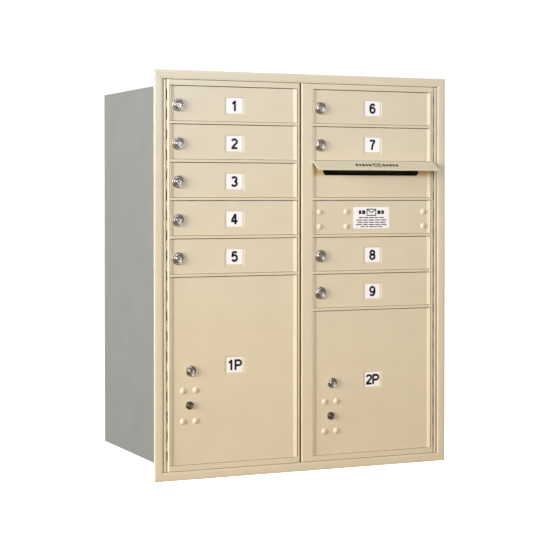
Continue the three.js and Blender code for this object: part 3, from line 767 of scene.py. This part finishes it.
label_spots = {name: spot_on(name, flat_middle, tenant_z) for name in TENANT_DOORS}
for number in (1, 2):
    name = "parcel_door_%d" % number
    low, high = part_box(name)
    key = local(plug_axis("parcel_lock_%d" % number), name)
    carrier = local(plug_axis("carrier_lock_%d" % number), name)
    pocket = (flat_middle, key[1] + PARCEL_LABEL_RISE[name])
    mesh = leaf(
        name + "_leaf", (high.z - low.z) / MM, [pocket],
        [(*key, TENANT_PLUG + HOLE_RUN), (*carrier, CARRIER_PLUG + HOLE_RUN)],
    )
    hang(name, mesh, name)
    label_spots[name] = spot_on(name, *pocket)
print("number pockets:", len(label_spots))

# %% Panels
SLOT_LEFT = 28
SLOT_RIGHT = 35
SLOT_DROP = 10
SLOT_HEIGHT = 18
SLOT_CORNER = 5.5

low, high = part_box("outgoing_panel")
panel_height = (high.z - low.z) / MM
slot_top = panel_height - SLOT_DROP
slot_low = slot_top - SLOT_HEIGHT
slot_end = door_width - SLOT_RIGHT
slot_shape = [
    Vector(p) for p in (
        (SLOT_LEFT, slot_top), (SLOT_LEFT, slot_low + SLOT_CORNER), (SLOT_LEFT + SLOT_CORNER, slot_low),
        (slot_end - SLOT_CORNER, slot_low), (slot_end, slot_low + SLOT_CORNER), (slot_end, slot_top),
    )
]
outgoing_leaf = leaf("outgoing_leaf", panel_height, slots=[slot_shape])
hang("outgoing_panel", outgoing_leaf, "right_master")
low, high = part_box("access_panel")
hang("access_panel", leaf("access_leaf", (high.z - low.z) / MM), "right_master")
print("mail slot is", round(slot_end - SLOT_LEFT), "mm wide")

# %% [markdown]
# ## Master door frames
# Each master door is an extruded frame with a rail between every two doors. A lip behind the
# doors stops them at the lock side and the hinge side. The frame is a plate with windows, so it
# is built from cells: planes at each edge, and a rule that says which cells hold metal.

# %% Master door frames
DOOR_GAP = 0.8
STILE = 5.2
LIP = 8
POCKET_BACK = 7
STILE_RADIUS = 3
RAIL_BREAK = 0.35


def master_frame(node, windows, x0, x1):
    """A master door's frame between x0 and x1, with a window round each of the doors named."""
    low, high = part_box(node)
    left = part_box(windows[0])[0].x - DOOR_GAP * MM
    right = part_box(windows[0])[1].x + DOOR_GAP * MM
    spans = [(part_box(w)[0].z - DOOR_GAP * MM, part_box(w)[1].z + DOOR_GAP * MM) for w in windows]
    xs = [x0, left, left + LIP * MM, right - LIP * MM, right, x1]
    ys = [FRONT, FRONT + POCKET_BACK * MM, high.y]
    zs = sorted([low.z, high.z] + [z for span in spans for z in span])

    def is_metal(i, j, k):
        middle = (zs[k] + zs[k + 1]) / 2
        in_window = any(a < middle < b for a, b in spans)
        open_x = range(1, 4) if j == 0 else range(2, 3)
        return not (in_window and i in open_x)

    bm = bmesh.new()
    cells(bm, xs, ys, zs, is_metal)
    soften(bm, 0)
    outer = [
        e for e in bm.edges
        if all(abs(v.co.y - FRONT) < 1e-6 for v in e.verts)
        and (all(abs(v.co.x - x0) < 1e-6 for v in e.verts) or all(abs(v.co.x - x1) < 1e-6 for v in e.verts))
    ]
    bmesh.ops.bevel(
        bm, geom=outer, offset=STILE_RADIUS * MM, offset_type="OFFSET", segments=5, profile=0.5,
        affect="EDGES", clamp_overlap=True,
    )
    soften(bm, RAIL_BREAK, 50)
    put(node + "_made", mesh_of(bm, node + "_shape"), powder_coat, body_of(node), stands_for=[node])


LEFT_WINDOWS = TENANT_DOORS[:5] + ["parcel_door_1"]
RIGHT_WINDOWS = TENANT_DOORS[5:] + ["outgoing_panel", "access_panel", "parcel_door_2"]
left_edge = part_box("door_1")[0].x - (DOOR_GAP + STILE) * MM
right_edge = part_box("door_6")[1].x + (DOOR_GAP + STILE) * MM
left_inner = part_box("left_master_frame")[1].x
right_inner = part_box("right_master_frame")[0].x
master_frame("left_master_frame", LEFT_WINDOWS, left_edge, left_inner)
master_frame("right_master_frame", RIGHT_WINDOWS, right_inner, right_edge)
print("seam between the masters:", round((right_inner - left_inner) / MM, 1), "mm")

# %% [markdown]
# ## Piano hinges
# A piano hinge is a strip of curled knuckles on one pin, taken in turn by the cabinet's leaf and
# by the door. Cylinders along the joint's own axis make it, each with its strap of metal. A leaf
# plate as long as the hinge stands beside them on either side, so no gap is seen between knuckles.

# %% Piano hinges
KNUCKLE_COUNT = 39
KNUCKLE_RADIUS = 3.2
KNUCKLE_GAP = 0.35
STRAP = 1.2
HINGE_LEAF_SET = 0.6
HINGE_PIN = 1.5
STRAP_OVERLAP = 0.001


def upright_rod(bm, x, y, radius, z0, z1, sides=20):
    extrude(bm, circle(radius, sides, x, y), "Z", z0, z1)


def leaf_plate(bm, x0, x1, y0, y1, z0, z1):
    """A flat plate of the hinge. Its two x values come in either order."""
    extrude(bm, box_outline(*sorted((x0, x1)), y0, y1), "Z", z0, z1)


def piano_hinge(side, leaf_node, stile_x):
    """The cabinet's leaf stands for its CAD node, and the door's knuckles ride on the master door."""
    axis = Vector(joint_of(side + "_master")["pos_m"]) / MM
    low, high = (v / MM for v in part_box(leaf_node))
    step = (high.z - low.z) / KNUCKLE_COUNT
    inward = 1 if side == "left" else -1
    wall = low.x if side == "left" else high.x
    inner_wall = wall + inward * STRAP
    stile = stile_x / MM
    clear = inward * (KNUCKLE_RADIUS + KNUCKLE_GAP)
    front = axis.y - HINGE_LEAF_SET
    fixed, moving = bmesh.new(), bmesh.new()
    leaf_plate(moving, axis.x + clear, stile, front, front + STRAP, low.z, high.z)
    leaf_plate(fixed, wall, inner_wall, axis.y - HINGE_PIN, high.y, low.z, high.z)
    leaf_plate(fixed, axis.x - clear, inner_wall, front, front + STRAP, low.z, high.z)
    upright_rod(fixed, axis.x, axis.y, HINGE_PIN, low.z, high.z)
    for i in range(KNUCKLE_COUNT):
        z0 = low.z + i * step + KNUCKLE_GAP / 2
        z1 = z0 + step - KNUCKLE_GAP
        if i % 2:
            upright_rod(moving, axis.x, axis.y, KNUCKLE_RADIUS, z0, z1)
            leaf_plate(moving, axis.x, stile, front, front + STRAP, z0, z1)
        else:
            upright_rod(fixed, axis.x, axis.y, KNUCKLE_RADIUS, z0, z1)
            leaf_plate(fixed, axis.x, inner_wall, axis.y - STRAP / 2, axis.y + STRAP / 2, z0, z1)
    put(leaf_node + "_made", mesh_of(fixed, leaf_node), powder_coat, "cabinet",
        stands_for=[leaf_node])
    put(side + "_hinge_knuckles", mesh_of(moving, side + "_knuckles"), powder_coat, side + "_master")


piano_hinge("left", "left_hinge_leaf", left_edge + STRAP_OVERLAP)
piano_hinge("right", "right_hinge_leaf", right_edge - STRAP_OVERLAP)
print("each piano hinge has", KNUCKLE_COUNT, "knuckles")

# %% [markdown]
# ## Sheet-metal and latch parts
# The housing, shelves, partition, hood, baffle and latch parts have their true shape in the CAD
# model, so a copy with broken edges is all that they need. The back waits for its rivets below.

# %% Sheet-metal and latch parts
SHEET_PARTS = ("housing", "centre", "left_shelf", "right_shelf", "outgoing_baffle")
STEEL_PARTS = ("left_door_rod", "right_door_rod", "latch_case", "latch_cam", "latch_bar",
               "left_master_catch")
SHEET_BREAK = 0.3
HOOD_BREAK = 0.6

for name in sorted(frame["nodes"]):
    if name == "housing_back":
        continue
    if name.startswith(SHEET_PARTS):
        softened(name, mill_aluminium, SHEET_BREAK)
    elif name in STEEL_PARTS:
        softened(name, zinc_plate, SHEET_BREAK)
softened("outgoing_hood", powder_coat, HOOD_BREAK)

# %% [markdown]
# ## Locks
# A letter door's lock is a zinc die casting. Its round bezel has two rounded beads that catch the
# light as arcs, and the plug in its middle has an upright keyway. Behind the door are the threaded
# body, its nut and the cam. The bezel and body are fixed to the door, and the plug and cam turn.

# %% Bezel
LOCK_BACK = 13
PLUG_CLEARANCE = 0.1
BEZEL_LIP = 0.4
BEZEL_BEADS = [(0, 0.5, 2.4), (0.54, 1, 1.8)]
THREADS = 7
THREAD_RADIUS = 9
THREAD_DEPTH = 0.5
BODY_WALL = 1.4
NUT_RADIUS = 10.6
NUT_THICK = 3.1


def bezel_mesh(name, outer, bore):
    """Bezel in front of the door, and threaded body and nut behind it.

    A bead is (start, end, height), with start and end as shares of the way across the bezel.
    """
    bm = bmesh.new()
    inner = bore + PLUG_CLEARANCE
    seat = DOOR_RELIEF - 0.02
    rings = [(inner, seat), (inner, -BEZEL_LIP)]
    for start, end, height in BEZEL_BEADS:
        for k in range(7):
            a = math.pi * k / 6
            share = start + (end - start) * (1 - math.cos(a)) / 2
            rings.append((inner + share * (outer - inner), -BEZEL_LIP - height * math.sin(a)))
    rings[-1] = (outer, 0)
    turn(bm, rings + [(outer, seat)], closed=True)
    body = min(outer - 3, THREAD_RADIUS)
    inside = body - BODY_WALL
    threads = [(inside, DOOR_THICK + 0.05)]
    for i in range(THREADS):
        depth = DOOR_THICK + 0.4 + i * (LOCK_BACK - DOOR_THICK - 0.8) / (THREADS - 1)
        threads += [(body - THREAD_DEPTH, depth - 0.35), (body, depth)]
    threads += [(body - THREAD_DEPTH, LOCK_BACK), (inside, LOCK_BACK)]
    turn(bm, threads, closed=True)
    nut = circle(min(outer - 3.3, NUT_RADIUS), 6)
    extrude(bm, nut, "Y", DOOR_THICK + 0.1, DOOR_THICK + 0.1 + NUT_THICK)
    return mesh_of(bm, name, 30)


# %% Plug and cam
CAM_FRONT = 15
CAM_BACK = 17
CAM_HALF = 5
CAM_BOLT = 4
BOLT_HEAD = 2.4
KEYWAY_HALF = 0.8


def plug_mesh(name, radius, cam_length):
    """Plug with a keyway, and a cam held by a hexagonal bolt."""
    bm = bmesh.new()
    rim = radius - 1.1
    stem = radius * 0.7
    turn(bm, [
        (0, -3.3), (rim - 0.6, -3.35), (rim, -3.9), (radius - 0.5, -4), (radius, -3.5),
        (radius, DOOR_THICK), (stem, DOOR_THICK + 0.2), (stem, CAM_FRONT), (0, CAM_FRONT),
    ])
    key = radius * 0.6
    keyway = box_outline(-KEYWAY_HALF, KEYWAY_HALF, -key, key, 0.3)
    mesh = cut(plain_mesh(bm, name), [outline_mesh("keyway", keyway, "Y", -6, -1.5)])
    bm = bmesh.new()
    bm.from_mesh(mesh)
    tip = CAM_HALF - cam_length
    shape = arc(CAM_HALF, 0, math.pi, 10) + arc(CAM_HALF, math.pi, 2 * math.pi, 10, 0, tip)
    extrude(bm, shape, "Y", CAM_FRONT, CAM_BACK)
    extrude(bm, circle(CAM_BOLT, 6), "Y", CAM_BACK, CAM_BACK + BOLT_HEAD)
    return mesh_of(bm, name, 30)


# %% Locks in place
TENANT_BEZEL = 15
KEY_BEZEL = 12.6
CARRIER_BEZEL = 9.2

LOCK_KINDS = {
    "lock": (TENANT_BEZEL, TENANT_PLUG, satin_nickel),
    "parcel_lock": (KEY_BEZEL, TENANT_PLUG, satin_nickel),
    "carrier_lock": (CARRIER_BEZEL, CARRIER_PLUG, dark_nickel),
}
for kind, (outer, bore, finish) in LOCK_KINDS.items():
    locks = sorted(n for n in frame["nodes"] if n.rsplit("_", 1)[0] == kind)
    length = (plug_axis(locks[0]).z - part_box(locks[0])[0].z) / MM
    bezel = bezel_mesh(kind + "_bezel", outer, bore)
    plug = plug_mesh(kind + "_plug", bore, length)
    for lock in locks:
        spot = plug_axis(lock)
        spot.y = FRONT
        put(lock + "_bezel", bezel, finish, joint_of(lock)["parent"], at=spot)
        put(lock + "_plug", plug, finish, lock, at=spot, stands_for=[lock])
    print(kind, "x", len(locks), "cam", round(length, 1), "mm")

# %% [markdown]
# ## Studs
# Domed studs, painted with the doors, hold the lock plates of the parcel doors and the latch
# behind the access panel. A stud is a turned cap with a soft foot.

# %% Studs
STUD_RADIUS = 7
STUD_HEIGHT = 2.6
STUD_FOOT = 0.35

cap = [(STUD_RADIUS + 0.3, DOOR_RELIEF + 0.05), (STUD_RADIUS, DOOR_RELIEF - STUD_FOOT)]
for k in range(1, 6):
    a = math.radians(15 * k)
    rise = STUD_FOOT + (STUD_HEIGHT - STUD_FOOT) * math.sin(a)
    cap.append((STUD_RADIUS * math.cos(a), DOOR_RELIEF - rise))
cap.append((0, DOOR_RELIEF - STUD_HEIGHT))
bm = bmesh.new()
turn(bm, [(0, DOOR_RELIEF + 0.05)] + cap, 24)
stud = mesh_of(bm, "stud", 50)

STUD_HALF = 15.8
STUD_ROWS = (34, -37.5)
for number in (1, 2):
    middle = plug_axis("carrier_lock_%d" % number)
    for row, rise in enumerate(STUD_ROWS):
        for column, across in enumerate((-STUD_HALF, STUD_HALF)):
            spot = (middle.x + across * MM, FRONT, middle.z + rise * MM)
            put("parcel_stud_%d_%d" % (number, 2 * row + column + 1), stud, powder_coat,
                "parcel_door_%d" % number, at=spot)

ACCESS_STUD_X = (18.7, 90.7, 303.6)
ACCESS_STUD_Z = 17.8
ACCESS_STUD_DROP = 5
low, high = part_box("access_panel")
for column, x in enumerate(ACCESS_STUD_X):
    for row, side in enumerate((1, -1)):
        rise = side * ACCESS_STUD_Z - ACCESS_STUD_DROP
        spot = (low.x + x * MM, FRONT, (low.z + high.z) / 2 + rise * MM)
        put("access_stud_%d" % (2 * column + row + 1), stud, powder_coat, "right_master",
            at=spot)

# %% [markdown]
# ## Number labels
# A white film with a printed number sits in each pocket. The figures are plain bold ones, drawn as
# a sign writer draws them: each is one to three strokes, lines and parts of ellipses, that a broad
# flat pen follows. A typeface thickened by as much would close the loops of the 6 and the 8.

# %% Number labels
FILM_WIDTH = 40.5
FILM_HEIGHT = 35.8
FILM_THICK = 0.2
FILM_CORNER = 1.5
FIGURE_HEIGHT = 25
INK_THICK = 0.05

pocket_floor = DOOR_RELIEF + POCKET_DEPTH
film_face = pocket_floor - FILM_THICK


def film_mesh(name, width, height, corner, front, back):
    """A label's film with rounded corners, centred, between two depths."""
    bm = bmesh.new()
    extrude(bm, box_outline(-width / 2, width / 2, -height / 2, height / 2, corner), "Y", front, back)
    soften(bm, 0)
    return mesh_of(bm, name)


film = film_mesh("number_film", FILM_WIDTH, FILM_HEIGHT, FILM_CORNER, film_face, pocket_floor + 0.05)

# %% Figures


def bow(x, z, wide, high, start, end, steps=20):
    """Points along part of an ellipse, between two angles in degrees."""
    angles = [math.radians(start + (end - start) * k / steps) for k in range(steps + 1)]
    return [Vector((x + wide * math.cos(a), z + high * math.sin(a))) for a in angles]


def line(*points):
    return [Vector(p) for p in points]


PEN = 0.215
FIGURE_STEP = 0.74
SIX = [bow(0, -0.16, 0.24, 0.25, 0, 360), bow(0.02, 0, 0.26, 0.41, 190, 40)]
STROKES = {
    "1": [line((0.05, 0.5), (0.05, -0.5)), line((0.07, 0.4), (-0.05, 0.29), (-0.22, 0.22))],
    "2": [bow(0, 0.19, 0.25, 0.22, 165, -35) + line((-0.22, -0.36)), line((-0.3, -0.41), (0.3, -0.41))],
    "3": [bow(-0.02, 0.21, 0.23, 0.2, 160, -90), bow(-0.02, -0.2, 0.26, 0.21, 90, -160)],
    "4": [line((0.1, 0.5), (0.1, -0.5)), line((0.06, 0.42), (-0.26, -0.14)),
          line((-0.33, -0.2), (0.32, -0.2))],
    "5": [line((0.26, 0.41), (-0.2, 0.41)), line((-0.16, 0.42), (-0.22, -0.04)),
          bow(0, -0.13, 0.25, 0.28, 150, -155)],
    "6": SIX,
    "7": [line((-0.29, 0.41), (0.29, 0.41)), line((0.24, 0.38), (0.02, 0), (-0.08, -0.5))],
    "8": [bow(0, 0.21, 0.21, 0.2, 0, 360), bow(0, -0.19, 0.25, 0.22, 0, 360)],
    "9": [[-p for p in stroke] for stroke in SIX],
    "P": [line((-0.27, 0.5), (-0.27, -0.5)),
          line((-0.25, 0.41)) + bow(0.05, 0.18, 0.25, 0.23, 90, -90) + line((-0.25, -0.05))],
}
print("signs drawn:", "".join(STROKES))


def pen_stroke(bm, points, width):
    """A flat strip of ink that follows the points, made of one closed prism."""
    closed = (points[0] - points[-1]).length < 1e-6
    if closed:
        points = points[:-1]
    count = len(points)
    rings = []
    for i, point in enumerate(points):
        before = points[i - 1] if closed or i else point
        after = points[(i + 1) % count] if closed or i + 1 < count else point
        across = (after - before).orthogonal().normalized() * width / 2
        left, right = point + across, point - across
        corners = ((left, 0), (right, 0), (right, INK_THICK), (left, INK_THICK))
        rings.append([bm.verts.new(Vector((c.x, depth, c.y)) * MM) for c, depth in corners])
    for i in range(count if closed else count - 1):
        for k in range(4):
            n = (k + 1) % 4
            following = rings[(i + 1) % count]
            bm.faces.new((rings[i][k], rings[i][n], following[n], following[k]))
    if not closed:
        bm.faces.new(rings[0])
        bm.faces.new(rings[-1])


def figures(text):
    """The text as strokes of ink in the XZ plane, centred, facing the reader."""
    bm = bmesh.new()
    for index, sign in enumerate(text):
        shift = Vector(((index - (len(text) - 1) / 2) * FIGURE_STEP, 0))
        for stroke in STROKES[sign]:
            pen_stroke(bm, [(p + shift) * FIGURE_HEIGHT for p in stroke], PEN * FIGURE_HEIGHT)
    return mesh_of(bm, "figures_" + text)


# %% Labels in place
HAND_PLACED = {"door_3": 0.5, "door_4": 1.2, "door_5": 1.6, "door_6": 2, "door_7": 2.4}
USUAL_RISE = 0.4

for door, pocket_spot in label_spots.items():
    spot = pocket_spot + Vector((0, 0, HAND_PLACED.get(door, USUAL_RISE) * MM))
    text = door[-1] + ("P" if door.startswith("parcel") else "")
    put(door + "_label", film, label_film, door, at=spot)
    ink_spot = spot + Vector((0, (film_face - INK_THICK) * MM, 0))
    put(door + "_figures", figures(text), print_ink, door, at=ink_spot)
print("labels:", len(label_spots))

# %% [markdown]
# ## Printed marks
# The access panel has a printed notice and the hood a line of print. Both are drawn here as plain
# generic marks: an envelope and bars that stand for lines of text.

# %% Printed marks
PRINT_LINE = 2.2


def bar(x, z, width, height):
    return box_outline(x - width / 2, x + width / 2, z - height / 2, z + height / 2)


def envelope(z, width, height):
    """Outline of an envelope with its flap, as strips, centred on x = 0 at that height."""
    line = PRINT_LINE
    strips = [
        bar(0, z + height / 2, width + line, line), bar(0, z - height / 2, width + line, line),
        bar(-width / 2, z, line, height - line), bar(width / 2, z, line, height - line),
    ]
    for side in (-1, 1):
        a = Vector((side * (width / 2 - line / 2), z + height / 2 - line / 2))
        b = Vector((0, z - height * 0.08))
        across = (b - a).orthogonal().normalized() * line / 2
        strips.append([a + across, a - across, b - across, b + across])
    return strips


def printed(name, shapes, place, tilt=0):
    """Ink shapes on a face whose front points along -Y, in one mesh."""
    bm = bmesh.new()
    for shape in shapes:
        extrude(bm, shape, "Y", -INK_THICK, 0)
    piece = put(name, mesh_of(bm, name), print_ink, "right_master")
    piece.matrix_world = Matrix.Translation(place) @ Matrix.Rotation(tilt, 4, "X")


# %% Notice on the access panel
NOTICE_WIDTH = 99
NOTICE_HEIGHT = 52
NOTICE_CORNER = 2.5
NOTICE_INSET = 158.5
NOTICE_DROP = 1.8
NOTICE_ENVELOPE = (24, 15)
TITLE_RISE = 13.5
TITLE_HEIGHT = 9
TITLE_BARS = ((21, 9), (31, 7))
TEXT_LINES = ((0.5, 70), (-5.5, 84), (-11, 78), (-16.5, 86), (-21.5, 60))
TEXT_HEIGHT = 2.4
WORDS = 5
WORD_GAPS = (1.6, 3.1)

low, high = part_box("access_panel")
notice_spot = Vector((
    low.x + NOTICE_INSET * MM, FRONT + DOOR_RELIEF * MM, (low.z + high.z) / 2 - NOTICE_DROP * MM,
))
notice_film = film_mesh("notice_film", NOTICE_WIDTH, NOTICE_HEIGHT, NOTICE_CORNER, -FILM_THICK, 0.05)
put("notice_film", notice_film, label_film, "right_master", at=notice_spot)
shapes = envelope(TITLE_RISE, *NOTICE_ENVELOPE)
for side in (-1, 1):
    shapes += [bar(side * x, TITLE_RISE, width, TITLE_HEIGHT) for x, width in TITLE_BARS]
for z, width in TEXT_LINES:
    for i in range(WORDS):
        word = width / WORDS - WORD_GAPS[i % 2]
        shapes.append(bar(-width / 2 + (i + 0.5) * width / WORDS, z, word, TEXT_HEIGHT))
printed("notice_print", shapes, notice_spot + Vector((0, -FILM_THICK * MM, 0)))
print("marks on the notice:", len(shapes))

# %% Print on the hood
HOOD_FALL = 19.2
HOOD_PROUD = 33
HOOD_START = 0.3
DOWN_THE_HOOD = 0.5
INK_LIFT = Vector((0, -0.12, 0.2))
HOOD_ENVELOPE = (20, 13)
LETTERS = 5
LETTER_START = 19
LETTER_STEP = 9
LETTER_WIDTH = 6
LETTER_HEIGHTS = (11, 9)

low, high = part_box("outgoing_hood")
hood_run = HOOD_PROUD - HOOD_START
slope = math.atan2(hood_run, HOOD_FALL)
hood_spot = Vector((
    (low.x + high.x) / 2, FRONT - (HOOD_START + DOWN_THE_HOOD * hood_run) * MM,
    high.z - DOWN_THE_HOOD * HOOD_FALL * MM,
))
shapes = envelope(0, *HOOD_ENVELOPE)
for side in (-1, 1):
    for i in range(LETTERS):
        x = side * (LETTER_START + i * LETTER_STEP)
        shapes.append(bar(x, 0, LETTER_WIDTH, LETTER_HEIGHTS[i % 2]))
printed("hood_print", shapes, hood_spot + INK_LIFT * MM, -slope)
print("hood slopes", round(math.degrees(slope)), "degrees")

# %% [markdown]
# ## Rivets and screws
# Pop rivets join the flanges of the housing, and pan-head screws hold the latch case. Both are
# turned pieces, joined into one piece for each row. In the back each rivet sits in a dimple, so
# that its head stays flush and the housing can stand tight against a wall.

# %% Rivets and screws


def turn_at(bm, profile, steps, matrix):
    """A turned shape, moved by the matrix."""
    start = len(bm.verts)
    turn(bm, profile, steps)
    bm.verts.ensure_lookup_table()
    fresh = [bm.verts[i] for i in range(start, len(bm.verts))]
    bmesh.ops.transform(bm, matrix=matrix, verts=fresh)


def cap_row(name, spots, radius, height, direction, finish, body):
    """A row of domed heads at the spots, all facing one way."""
    bm = bmesh.new()
    towards = Vector((0, -1, 0)).rotation_difference(Vector(direction)).to_matrix().to_4x4()
    dome = [(0, 0.05), (radius, 0.05), (radius, -0.25 * height), (0.8 * radius, -0.75 * height),
            (0.45 * radius, -height), (0, -height)]
    for spot in spots:
        turn_at(bm, dome, 16, Matrix.Translation(spot) @ towards)
    put(name, mesh_of(bm, name, 50), finish, body)


# %% Rivets along the sides
RIVET_RADIUS = 2.4
RIVET_HEIGHT = 1.1
RIVETS = 6
FLANGE_INSET = 0.012
RIVET_START = 0.06
RIVET_END = 0.02

low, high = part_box("housing_back")
side_low, side_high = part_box("housing_left_side")
y0 = side_low.y + RIVET_START
y1 = side_high.y - RIVET_END
for name, z, up in (("top", high.z, 1), ("bottom", low.z, -1)):
    for side, x in (("left", low.x + FLANGE_INSET), ("right", high.x - FLANGE_INSET)):
        spots = [Vector((x, y0 + (y1 - y0) * i / (RIVETS - 1), z)) for i in range(RIVETS)]
        cap_row("rivets_%s_%s" % (name, side), spots, RIVET_RADIUS, RIVET_HEIGHT, (0, 0, up),
                mill_aluminium, "cabinet")
print("rivets along the sides:", 4 * RIVETS)

# %% Dimpled rivets in the back
DIMPLE_RADIUS = 5.5
DIMPLE_DEPTH = 1.3
EDGE_INSET = 0.014
BACK_ROWS = 8
BACK_COLUMNS = 7

back_spots = []
for i in range(BACK_ROWS):
    z = low.z + EDGE_INSET + (high.z - low.z - 2 * EDGE_INSET) * i / (BACK_ROWS - 1)
    back_spots += [Vector((x, high.y, z)) for x in (low.x + EDGE_INSET, high.x - EDGE_INSET)]
for i in range(1, BACK_COLUMNS - 1):
    x = low.x + EDGE_INSET + (high.x - low.x - 2 * EDGE_INSET) * i / (BACK_COLUMNS - 1)
    back_spots += [Vector((x, high.y, z)) for z in (low.z + EDGE_INSET, high.z - EDGE_INSET)]
dimple = [(0, -DIMPLE_DEPTH), (RIVET_RADIUS + 0.8, -DIMPLE_DEPTH), (DIMPLE_RADIUS, 0.02),
          (DIMPLE_RADIUS, 2), (0, 2)]
bm = bmesh.new()
for spot in back_spots:
    turn_at(bm, dimple, 20, Matrix.Translation(spot))
back_mesh = cut(frame["nodes"]["housing_back"].data.copy(), [plain_mesh(bm, "dimples")])
softened("housing_back", mill_aluminium, SHEET_BREAK, back_mesh, 50)
rivet_spots = [spot - Vector((0, DIMPLE_DEPTH * MM, 0)) for spot in back_spots]
cap_row("rivets_back", rivet_spots, RIVET_RADIUS, RIVET_HEIGHT, (0, 1, 0), mill_aluminium, "cabinet")
print("dimpled rivets in the back:", len(back_spots))

# %% Latch screws
SCREW_RADIUS = 3
SCREW_HEIGHT = 1.8
SCREW_EDGE = 0.006
SCREW_CLEAR = 0.02

low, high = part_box("latch_case")
spots = [Vector((x, high.y, z)) for x in (low.x + SCREW_CLEAR, high.x - SCREW_EDGE)
         for z in (low.z + SCREW_EDGE, high.z - SCREW_EDGE)]
cap_row("latch_screws", spots, SCREW_RADIUS, SCREW_HEIGHT, (0, 1, 0), zinc_plate, "right_master")
print("latch screws:", len(spots))
